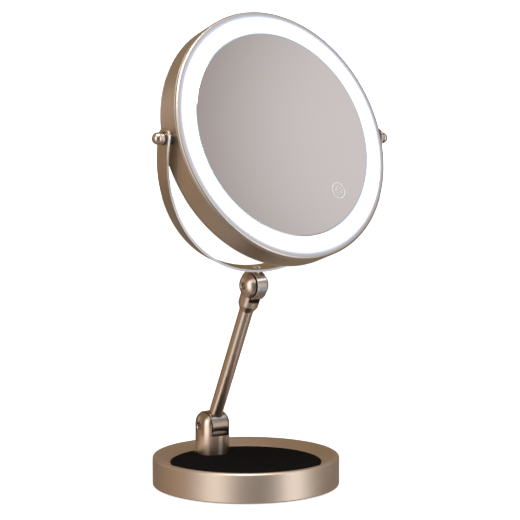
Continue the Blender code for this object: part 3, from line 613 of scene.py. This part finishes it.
def barrel_room():
    """The slot through the post, seen from the side: a flat floor with a round dip in it."""
    clear = BARREL_RADIUS + 2 * GAP
    bite = math.degrees(math.asin(POST_SLOT_DROP / clear))
    side = 0.02
    top = 0.03
    outline = [(side, top), (-side, top), (-side, -POST_SLOT_DROP)]
    outline += arc((0, 0), clear, 180 + bite, 360 - bite, 40)
    return outline + [(side, -POST_SLOT_DROP)]


def drill_for_bolt(item, pin, depth):
    """A hole for the hinge bolt, dished where it opens on each side."""
    mouth = 0.0050
    end = depth + 0.0010
    half = [(0, end), (mouth, end), (PIN_RADIUS + GAP, depth - 0.0012)]
    drill = half + [(radius, -height) for radius, height in reversed(half)]
    combine(item, turned("drill", drill, pin @ TURN["X"], None, SMALL))


def make_bolt(name, body, matrix, half, look, *nodes):
    """A headless hinge bolt with a driving slot in its left end."""
    profile = rounded([(0, half, 0), (PIN_RADIUS, half, 0.0003), (PIN_RADIUS, -half, 0.0003),
                       (0, -half, 0)])
    bolt = turned(name, profile, matrix @ TURN["X"], look["bolt_steel"], SMALL)
    combine(bolt, block("slot", (0.0008, 0.0080, 0.0010), matrix @ TURN["X"] @ at(z=-half)))
    keep_flat(bolt)
    fit(bolt, body, "plated_steel", *nodes)


# ---------------------------------------------------------------- arm

def make_arm(look):
    barrel = turned("hinge_barrel", rounded([
        (0, BARREL_HALF, 0), (BARREL_RADIUS, BARREL_HALF, 0.0005),
        (BARREL_RADIUS, -BARREL_HALF, 0.0005), (0, -BARREL_HALF, 0)]),
        ARM @ TURN["X"], look["shade_painted_barrel"], MEDIUM)
    socket_low = 0.0069
    tube_low = 0.0072
    combine(barrel, rod("socket", TUBE_RADIUS + GAP, SHORT_CUT, ARM @ at(z=socket_low + SHORT_CUT)))
    combine(barrel, rod("pin_hole", PIN_RADIUS + GAP, LONG_CUT, ARM @ TURN["X"], None, SMALL))
    soften(barrel, 0.0003)
    fit(barrel, "arm", "satin_nickel", "arm_barrel")
    length = ARM_RUN.length
    top = length - TAPER_DROP - 0.00005
    bore = TUBE_RADIUS - 0.0012
    tube = turned("arm_rod", rounded([
        (TUBE_RADIUS, top, 0.0001), (TUBE_RADIUS, tube_low, 0.0003), (bore, tube_low, 0),
        (bore, top, 0)]),
        ARM, look["brushed_tube"], MEDIUM)
    keep_flat(tube)
    fit(tube, "arm", "satin_nickel", "arm_tube")
    make_fork(look, ARM @ at(z=length))
    make_bolt("upper_bolt", "arm", ARM @ at(z=length), UPPER_BOLT_HALF, look,
              "upper_hinge_bolt")


def make_fork(look, matrix):
    meet = math.degrees(math.asin(NECK_RADIUS / BALL_RADIUS))
    ball = arc((0, 0), BALL_RADIUS, 90, meet - 90 + 1.5, 44)
    ball[0] = (0, BALL_RADIUS)
    spigot = TUBE_RADIUS - 0.0015
    spigot_end = -TAPER_DROP - 0.0100
    lower = rounded([
        (NECK_RADIUS, -0.0095, 0), (NECK_RADIUS, -NECK_DROP, 0.0030),
        (TUBE_RADIUS, -TAPER_DROP, 0.0001), (spigot, -TAPER_DROP, 0),
        (spigot, spigot_end, 0), (0, spigot_end, 0)])
    fork = turned("ball_fork", ball + lower, matrix, look["brushed_fork"], MEDIUM)
    room = 0.04
    combine(fork, block("slot", (2 * FORK_SLOT_HALF, room, room),
                        matrix @ at(z=room / 2 - FORK_SLOT_DROP)))
    drill_for_bolt(fork, matrix, BALL_RADIUS)
    soften(fork, 0.00035)
    fit(fork, "arm", "satin_nickel", "arm_fork")


# ---------------------------------------------------------------- yoke

def make_yoke(look):
    tongue = turned("tilt_tongue", rounded([
        (0, TONGUE_HALF, 0), (TONGUE_RADIUS, TONGUE_HALF, 0.0007),
        (TONGUE_RADIUS, -TONGUE_HALF, 0.0007), (0, -TONGUE_HALF, 0)]),
        YOKE @ TURN["X"], look["light_painted_tongue"], MEDIUM)
    neck_radius = 0.0045
    neck_half = (YOKE_RISE - 0.0001) / 2
    bore_low = 0.0046
    neck = rod("neck", neck_radius, neck_half, YOKE @ at(z=neck_half), None, SMALL)
    combine(tongue, neck, "UNION")
    combine(tongue, rod("pin_hole", PIN_RADIUS + GAP, LONG_CUT, YOKE @ TURN["X"], None, SMALL))
    combine(tongue, rod("bore", STUD_HOLE, SHORT_CUT, YOKE @ at(z=bore_low + SHORT_CUT), None, SMALL))
    soften(tongue, 0.0002, 2)
    fit(tongue, "yoke", "satin_nickel", "yoke_tongue")
    make_strip(look)
    make_yoke_screw(look)


def make_strip(look):
    axis = YOKE @ at(z=YOKE_RISE + YOKE_RADIUS)
    inner = YOKE_RADIUS - YOKE_THICKNESS
    tip = 0.0200
    outline = [(-YOKE_RADIUS, tip)] + arc((0, 0), YOKE_RADIUS, 180, 360, 180)
    outline += [(YOKE_RADIUS, tip), (inner, tip)] + arc((0, 0), inner, 360, 180, 180)
    outline += [(-inner, tip)]
    strip = prism("yoke_strip", outline, YOKE_HALF_WIDTH + 0.0010,
                  axis @ TURN["-Y"], look["satin_strip"])
    reach = YOKE_RADIUS + 0.0100
    side = [(-YOKE_HALF_WIDTH, -reach), (YOKE_HALF_WIDTH, -reach)]
    side += arc((0, EAR_CENTRE), YOKE_HALF_WIDTH, 0, 180, 41)
    combine(strip, prism("keep", side, reach, axis @ SIDEWAYS), "INTERSECT")
    for sign in (-1, 1):
        ear = axis @ at(x=sign * YOKE_RADIUS) @ TURN["X"] @ Matrix.Rotation(0.04, 4, "Z")
        combine(strip, rod("ear_hole", STUD_HOLE, SHORT_CUT, ear, None, SMALL))
    combine(strip, rod("screw_hole", STUD_HOLE, SHORT_CUT, YOKE @ at(z=YOKE_RISE), None, SMALL))
    soften(strip, 0.00035)
    bake(strip)
    paint_edge_highlight(strip, axis.to_3x3().col[1], look["painted_edge_highlight"])
    keep_flat(strip)
    fit(strip, "yoke", "satin_nickel", "yoke")


def paint_edge_highlight(item, way, material):
    """Give the faces that look along way, or against it, a paler, bluer nickel of their own: a
    painted highlight on the strip's edges.
    """
    item.data.materials.append(material)
    turn = item.matrix_world.to_3x3()
    for face in item.data.polygons:
        if abs((turn @ face.normal).dot(way)) > 0.9:
            face.material_index = 1


def make_yoke_screw(look):
    seat = YOKE_RISE + YOKE_THICKNESS + 0.0001
    dome = 0.0019
    head = 0.0040
    shank = 0.0020
    tip = 0.0050
    ball = (head * head + dome * dome) / (2 * dome)
    limit = math.degrees(math.asin((head - 0.0002) / ball))
    cap = arc((0, seat + dome - ball), ball, 90, 90 - limit, 14)
    cap[0] = (0, seat + dome)
    profile = cap + [(head, seat + 0.0001), (head, seat), (shank, seat), (shank, tip), (0, tip)]
    screw = turned("yoke_pan_screw", profile, YOKE, look["highlight_painted_nickel"], SMALL)
    for turn in (0.35, 0.35 + math.pi / 2):
        tool = block("drive", (0.0044, 0.0009, 0.0024),
                     YOKE @ at(z=seat + dome + 0.0001) @ Matrix.Rotation(turn, 4, "Z"))
        combine(screw, tool)
    soften(screw, 0.0001, 2)
    fit(screw, "yoke", "polished_nickel", "yoke_screw")


# ---------------------------------------------------------------- head

def make_head(look):
    inside = HEAD_RADIUS - 0.0022
    band = turned("side_band", rounded([
        (HEAD_RADIUS, BAND_HALF, 0.0004), (HEAD_RADIUS, -BAND_HALF, 0.0004),
        (inside, -BAND_HALF, 0), (inside, BAND_HALF, 0)]),
        HEAD @ TURN["-Y"], look["satin_band"])
    combine(band, socket_opening())
    for sign in (-1, 1):
        side = HEAD @ at(x=sign * HEAD_RADIUS) @ TURN["X"]
        combine(band, rod("stud_hole", STUD_HOLE, SHORT_CUT, side, None, SMALL))
    soften(band, 0.0001, 2)
    fit(band, "head", "satin_nickel", "housing_ring")
    for side, turn in (("front", "-Y"), ("rear", "Y")):
        make_bezel(look, side, turn)
        make_lit_ring(look, side, turn)
    make_mirrors(look)
    make_touch_mark(look)
    for side, turn in (("left", "-X"), ("right", "X")):
        make_pivot(look, side, turn)


def socket_opening():
    """A tool shaped like the round-ended hole for the charging socket."""
    half, end = 0.0048, 0.0019
    outline = arc((half - end, 0), end, -90, 90, 14) + arc((end - half, 0), end, 90, 270, 14)
    return prism("port", outline, 0.0060, HEAD @ at(z=HEAD_RADIUS))


def make_bezel(look, side, turn):
    back = BAND_HALF + GAP
    skirt = HEAD_RADIUS - 0.0025
    skirt_end = 0.0075
    inside = CORE_RADIUS + GAP
    seat = 0.0099
    profile = rounded([
        (RING_OUTER, HEAD_HALF, 0.0005), (HEAD_RADIUS, HEAD_HALF, 0.0020),
        (HEAD_RADIUS, back, 0.0002), (skirt, back, 0), (skirt, skirt_end, 0),
        (inside, skirt_end, 0), (inside, seat, 0), (RING_OUTER, seat, 0)])
    bezel = turned(f"{side}_trim_ring", profile, HEAD @ TURN[turn], look["satin_bezel"])
    keep_flat(bezel)
    fit(bezel, "head", "satin_nickel", f"{side}_bezel")


def make_lit_ring(look, side, turn):
    outer = RING_OUTER - 0.0002
    inner = RING_INNER + 0.0001
    profile = rounded([(outer, PANE_FRONT, 0.0004), (outer, PANE_BACK, 0),
                       (inner, PANE_BACK, 0), (inner, PANE_FRONT, 0.0003)])
    ring = turned(f"{side}_lit_ring", profile, HEAD @ TURN[turn], look["lit_ring"])
    keep_flat(ring)
    fit(ring, "head", "opal_acrylic", f"{side}_diffuser")


def make_mirrors(look):
    edge = RING_INNER - 0.0002
    flat = turned("front_glass", rounded([
        (0, PANE_FRONT, 0), (edge, PANE_FRONT, 0.0005), (edge, PANE_BACK, 0),
        (0, PANE_BACK, 0)]), HEAD @ TURN["-Y"], look["front_silver"])
    keep_flat(flat)
    fit(flat, "head", "silvered_glass", "front_mirror")
    steps = 28
    thickness = 0.0020
    bowl = edge - 0.0006
    face = []
    back = []
    for i in range(steps + 1):
        radius = bowl * i / steps
        sunk = MAGNIFIER_SAG * (1 - (radius / bowl) ** 2)
        face.append((radius, PANE_FRONT - sunk))
        back.append((radius, PANE_FRONT - thickness - sunk))
    rim = [(edge, PANE_FRONT - 0.0003), (edge, PANE_FRONT - 0.0018)]
    bowl_glass = turned("rear_glass", face + rim + back[::-1], HEAD @ TURN["Y"],
                        look["rear_silver"])
    fit(bowl_glass, "head", "silvered_glass", "rear_mirror")


def make_touch_mark(look):
    """The etched touch mark: a ring, and inside it an open arc with a bar."""
    lift = HEAD @ at(TOUCH_X, -PANE_FRONT - MARK_HALF, TOUCH_Z) @ TURN["-Y"]
    ring = stroke("touch_ring", 0.0066, 0.00040, -180, 180, lift, look["etched_mark"])
    power = stroke("touch_arc", 0.0029, 0.00036, 125, 415, lift, look["etched_mark"])
    bar = block("touch_bar", (0.00060, 0.0032, 2 * MARK_HALF), lift @ at(y=0.0026),
                look["etched_mark"])
    for mark in (ring, power, bar):
        fit(mark, "head", "silvered_glass")


def stroke(name, radius, half_width, start, end, matrix, material):
    """A thin flat stroke along an arc, or round a whole circle."""
    outer = radius + half_width
    inner = radius - half_width
    if end - start >= 360:
        profile = [(outer, MARK_HALF), (outer, -MARK_HALF), (inner, -MARK_HALF),
                   (inner, MARK_HALF)]
        return turned(name, profile, matrix, material, MEDIUM)
    outline = arc((0, 0), outer, start, end, 72) + arc((0, 0), inner, end, start, 72)
    return prism(name, outline, MARK_HALF, matrix, material)


def make_pivot(look, side, turn):
    """Spacer, washer and cap nut; heights run outwards along the flip axis."""
    matrix = HEAD @ TURN[turn]
    radius = 0.0049
    bore = 0.0022
    inner = HEAD_RADIUS + 0.0001
    outer = YOKE_RADIUS - YOKE_THICKNESS - 0.0001
    # The spacer and the washer are painted near black: painted shade between the yoke ear and the
    # head.
    spacer = turned(f"spacer_{side}", rounded([
        (radius, outer, 0.0016), (radius, inner, 0.0016), (bore, inner, 0), (bore, outer, 0)]),
        matrix, look["shade_painted_nickel"], SMALL)
    fit(spacer, "head", "polished_nickel", f"pivot_spacer_{side}")
    rim = 0.0053
    low = YOKE_RADIUS + 0.0001
    high = low + 0.0010
    washer = turned(f"ear_washer_{side}", rounded([
        (rim, high, 0.0003), (rim, low, 0.0002), (STUD_HOLE, low, 0), (STUD_HOLE, high, 0)]),
        YOKE @ at(z=YOKE_RUN.length) @ TURN[turn], look["shade_painted_nickel"], SMALL)
    fit(washer, "yoke", "polished_nickel", f"pivot_washer_{side}")
    make_cap_nut(look, side, matrix, high + 0.0002)


def make_cap_nut(look, side, matrix, low):
    """A domed nut with a groove above its collar."""
    radius = 0.0050
    groove = 0.0042
    collar = 0.0048
    dome_low = 0.1182
    bore_end = 0.1196
    dome = [(up, across) for across, up in arc((dome_low, 0), radius, 0, 90, 18)]
    dome[0] = (0, dome_low + radius)
    lower = rounded([(radius, low + 0.0021, 0.0004), (groove, low + 0.0017, 0.0002),
                     (groove, low + 0.0012, 0.0002), (collar, low + 0.0009, 0.0003),
                     (collar, low, 0.0003), (STUD_HOLE, low, 0), (STUD_HOLE, bore_end, 0),
                     (0, bore_end, 0)])
    nut = turned(f"domed_nut_{side}", dome + lower, matrix, look["soft_nickel"], SMALL)
    fit(nut, "head", "polished_nickel", f"cap_nut_{side}")


# ---------------------------------------------------------------- carried-over CAD nodes

def dress_hidden_nodes(look):
    """Finish the CAD nodes that stay as they are: fixings and the inside of the head."""
    groups = {
        "plated_steel": ("base_bottom_plate", "base_screw_1", "base_screw_2", "base_screw_3",
                         "post_screw", "post_screw_washer", "pivot_stud_left",
                         "pivot_stud_right", "charge_socket"),
        "black_foam": ("base_foot_pad",),
        "cast_iron": ("base_weight",),
        # The friction washers take the near-black nylon: painted shade in the gaps beside the
        # barrels.
        "nylon": ("lower_friction_washer_left", "lower_friction_washer_right",
                  "upper_friction_washer_left", "upper_friction_washer_right", "touch_pad"),
        "white_plastic": ("core_frame", "battery_clip"),
        "white_board": ("front_led_board", "rear_led_board"),
        "green_board": ("control_board", "charge_board"),
        "battery_wrap": ("battery",),
        "lead_jacket": ("battery_lead", "charge_lead"),
    }
    for finish, nodes in groups.items():
        for node in nodes:
            slots = frame["nodes"][node].data.materials
            slots.clear()
            slots.append(look[finish])


def make_looks():
    return {
        "satin_base": satin_nickel("satin_nickel_base", 0.46),
        "satin_band": satin_nickel("satin_nickel_band", 0.40),
        # The trim: a painted glow on its inner border, and a greyer, darker copy of the nickel as
        # painted shade that tones down its edge highlight.
        "satin_bezel": trim_with_painted_glow("satin_nickel_trim_painted_glow", 0.36, (0.57, 0.52, 0.48)),
        # Painted shade: the post's nickel is a darker copy, standing in for the shade of the dark
        # tray round it.
        "shade_painted_post": brushed_nickel("brushed_nickel_post_painted_shade", 0.22, 0.75, (0.55, 0.46, 0.385)),
        "brushed_fork": brushed_nickel("brushed_nickel_fork", 0.30, 0.30),
        # Painted shade: the hinge barrel sits in the post's slot, so its nickel is a much darker
        # copy.
        "shade_painted_barrel": satin_nickel("satin_nickel_barrel_painted_shade", 0.26, (0.38, 0.325, 0.28)),
        # Painted light and shade: the tongue's nickel is a greyer, cooler copy, tuned to the bluish
        # light it reflects and the shade round it.
        "light_painted_tongue": satin_nickel("satin_nickel_tongue_painted_light", 0.20, (0.58, 0.54, 0.51)),
        "brushed_tube": brushed_nickel("brushed_nickel_tube", 0.30, 0.60),
        "satin_strip": satin_nickel("satin_nickel_strip", 0.33),
        # Painted highlight: a paler, bluer nickel for the yoke strip's edge faces.
        "painted_edge_highlight": satin_nickel("nickel_edge_painted_highlight", 0.30, (0.76, 0.755, 0.77)),
        # Painted highlight: a paler copy of the polished nickel, so the yoke screw's dome shows a
        # brighter highlight.
        "highlight_painted_nickel": polished_nickel("nickel_plating_painted_highlight", 0.15, (0.90, 0.885, 0.87)),
        "soft_nickel": polished_nickel("buffed_nickel_plating", 0.27, (0.62, 0.52, 0.44)),
        # Painted shade: a near-black copy of the nickel for the spacers and washers, which sit in
        # shade between the yoke ears and the head.
        "shade_painted_nickel": polished_nickel("nickel_plating_painted_shade", 0.12, (0.20, 0.175, 0.155)),
        "plated_steel": plated_steel("zinc_plated_steel", (0.57, 0.57, 0.55)),
        "bolt_steel": plated_steel("nickel_plated_bolt", (0.38, 0.33, 0.28)),
        "black_foam": black_foam(),
        "front_silver": silvered_glass("silvered_flat_glass"),
        "rear_silver": silvered_glass("silvered_magnifying_glass"),
        "lit_ring": lit_acrylic(),
        "etched_mark": etched_mark(),
        "cast_iron": cast_iron(),
        # Painted shade: the friction washers, seen only as dark gaps beside the hinge barrels, are
        # painted near black; the hidden touch pad shares it.
        "nylon": moulded_plastic("nylon_painted_gap_shade", (0.040, 0.038, 0.036), 0.45),
        "white_plastic": moulded_plastic("white_moulding", (0.80, 0.80, 0.78), 0.45),
        "white_board": moulded_plastic("white_solder_mask", (0.84, 0.84, 0.81), 0.38),
        "green_board": moulded_plastic("green_solder_mask", (0.02, 0.14, 0.06), 0.35),
        "battery_wrap": moulded_plastic("battery_foil", (0.32, 0.35, 0.40), 0.30),
        "lead_jacket": moulded_plastic("lead_insulation", (0.35, 0.03, 0.03), 0.45),
    }


# ---------------------------------------------------------------- stage

def toward(azimuth, elevation):
    """The direction at these angles in degrees, where azimuth 0 is -Y and 90 is +X."""
    a = math.radians(azimuth)
    e = math.radians(elevation)
    return Vector((math.sin(a) * math.cos(e), -math.cos(a) * math.cos(e), math.sin(e)))


def face(name, data, target, way, distance):
    """An object out along way from its target, looking back at it."""
    item = bpy.data.objects.new(name, data)
    bpy.context.scene.collection.objects.link(item)
    item.location = target + way * distance
    item.rotation_mode = "QUATERNION"
    item.rotation_quaternion = (-way).to_track_quat("-Z", "Y")
    return item


def make_camera():
    data = bpy.data.cameras.new("camera")
    data.sensor_width = 36.0
    data.lens = CAMERA_LENS
    data.clip_end = 50.0
    way = toward(CAMERA_AZIMUTH, CAMERA_ELEVATION)
    bpy.context.scene.camera = face("camera", data, CAMERA_TARGET, way, CAMERA_DISTANCE)


def make_stage():
    """A pale floor and a white backdrop, neither of which shows in the metal."""
    floor = turned("floor", [(0, 0.0), (STAGE_RADIUS, 0.0)], at(z=-0.0001),
                   stage_white("floor", 0.74))
    floor.visible_glossy = False
    floor.visible_shadow = False
    wall = [(0, STAGE_RADIUS)] + arc((0, 0), STAGE_RADIUS, 80, -20, 12)
    dome = turned("backdrop", wall, WORLD, stage_white("backdrop", 1.05), SMALL)
    for ray in ("glossy", "diffuse", "transmission", "shadow", "volume_scatter"):
        setattr(dome, "visible_" + ray, False)


def stage_white(name, glow):
    m = Shader("stage_" + name)
    m.plain(Base_Color=(0.86, 0.86, 0.86), Roughness=0.9, Specular_IOR_Level=0.0)
    m.plain(Emission_Color=(1.0, 1.0, 1.0), Emission_Strength=glow)
    return m.material


class Studio:
    """The room round the object, painted on the world in layers, the last one on top."""

    def __init__(self, colour):
        world = bpy.data.worlds.new("studio")
        world.use_nodes = True
        bpy.context.scene.world = world
        self.tree = world.node_tree
        self.tree.nodes.clear()
        out = self.tree.nodes.new("ShaderNodeOutputWorld")
        self.background = self.tree.nodes.new("ShaderNodeBackground")
        self.join(self.background.outputs[0], out.inputs[0])
        self.way = self.tree.nodes.new("ShaderNodeTexCoord").outputs["Generated"]
        split = self.tree.nodes.new("ShaderNodeSeparateXYZ")
        self.join(self.way, split.inputs[0])
        self.height = split.outputs[2]
        flat = self.vector_math("MULTIPLY", self.way)
        flat.inputs[1].default_value = (1.0, 1.0, 0.0)
        self.bearing = self.vector_math("NORMALIZE", flat.outputs[0]).outputs[0]
        self.colour = colour
        self.below = None

    def join(self, source, target):
        self.tree.links.new(source, target)

    def vector_math(self, operation, source):
        node = self.tree.nodes.new("ShaderNodeVectorMath")
        node.operation = operation
        self.join(source, node.inputs[0])
        return node

    def smooth(self, value, start, full):
        node = self.tree.nodes.new("ShaderNodeMapRange")
        node.interpolation_type = "SMOOTHSTEP"
        self.join(value, node.inputs["Value"])
        node.inputs["From Min"].default_value = start
        node.inputs["From Max"].default_value = full
        return node.outputs["Result"]

    def nearness(self, source, axis, outer, inner):
        """0 beyond outer degrees from the axis, 1 within inner degrees."""
        dot = self.vector_math("DOT_PRODUCT", source)
        dot.inputs[1].default_value = axis
        return self.smooth(dot.outputs["Value"], math.cos(math.radians(outer)),
                           math.cos(math.radians(inner)))

    def product(self, first, second):
        node = self.tree.nodes.new("ShaderNodeMath")
        node.operation = "MULTIPLY"
        self.join(first, node.inputs[0])
        self.join(second, node.inputs[1])
        return node.outputs[0]

    def layer(self, factor, colour):
        mix = self.tree.nodes.new("ShaderNodeMix")
        mix.data_type = "RGBA"
        self.join(factor, mix.inputs[0])
        if self.below is None:
            mix.inputs[6].default_value = (*self.colour, 1.0)
        else:
            self.join(self.below, mix.inputs[6])
        mix.inputs[7].default_value = (*colour, 1.0)
        self.below = mix.outputs[2]
        self.join(self.below, self.background.inputs["Color"])

    def slope(self, start, full, colour):
        """Colour for directions that climb from the sine start to the sine full."""
        self.layer(self.smooth(self.height, start, full), colour)

    def strip(self, azimuth, outer, inner, colour, low=(-1.1, -1.05), high=(1.1, 1.05)):
        """An upright strip at an azimuth, with soft ends where low and high say."""
        side = self.nearness(self.bearing, toward(azimuth, 0.0), outer, inner)
        bottom = self.smooth(self.height, *low)
        top = self.smooth(self.height, *high)
        self.layer(self.product(side, self.product(bottom, top)), colour)

    def spot(self, azimuth, elevation, outer, inner, colour):
        """A soft round patch of light in one direction."""
        self.layer(self.nearness(self.way, toward(azimuth, elevation), outer, inner), colour)


def make_world():
    """A brown room, dark behind the camera, with lit walls left and right of it."""
    room = Studio((0.19, 0.145, 0.098))
    room.slope(-0.25, -0.85, (0.34, 0.285, 0.24))
    room.slope(0.10, 0.60, (0.31, 0.222, 0.135))
    room.strip(88, 42, 12, (0.25, 0.205, 0.165), high=(0.75, 0.30))
    room.strip(-145, 19, 8, (0.36, 0.27, 0.175), (-0.95, -0.60), (0.15, -0.10))
    room.strip(-28, 48, 24, (0.13, 0.12, 0.115), (-0.75, -0.35), (0.60, 0.10))
    room.spot(-154, 17, 16, 5, (0.76, 0.67, 0.58))
    room.strip(-104, 26, 12, (0.31, 0.235, 0.165), (-0.80, -0.40), (0.75, 0.35))
    room.strip(-127, 10, 4, (0.57, 0.345, 0.225), (-0.60, -0.30), (0.70, 0.40))
    room.strip(-75, 20, 9, (2.05, 2.00, 1.97), (-0.85, -0.25), (0.72, 0.48))
    room.strip(22, 17, 9, (2.30, 2.27, 2.27), (-0.80, -0.35), (0.75, 0.40))
    room.spot(43, -29, 12, 5, (0.44, 0.48, 0.56))
    room.spot(47, 30, 24, 11, (0.355, 0.32, 0.305))
    room.spot(48, 50, 14, 8, (1.75, 2.00, 2.35))
    room.spot(50.5, 26, 8.8, 1.0, (0.66, 0.625, 0.615))


def make_lights():
    add_softbox("left_softbox", -76.0, 18.0, (0.60, 1.60), 0.35)
    add_softbox("right_softbox", 22.0, 18.0, (0.55, 1.60), 0.35)
    add_softbox("top_softbox", -38.0, 66.0, (1.40, 1.20), 6.00)


def add_softbox(name, azimuth, elevation, size, glow):
    """An area light aimed at the object's middle; glow is the brightness of its face."""
    data = bpy.data.lights.new(name, "AREA")
    data.shape = "RECTANGLE"
    data.size, data.size_y = size
    data.energy = WATTS_FOR_GLOW * glow * size[0] * size[1]
    face(name, data, LIGHT_TARGET, toward(azimuth, elevation), LIGHT_DISTANCE)


# ---------------------------------------------------------------- assembly

make_camera()
make_world()
make_lights()
make_stage()
LOOK = make_looks()
make_base(LOOK)
make_arm(LOOK)
make_yoke(LOOK)
make_head(LOOK)
dress_hidden_nodes(LOOK)
bpy.context.scene.view_settings.view_transform = "Standard"

bpy.context.view_layer.update()
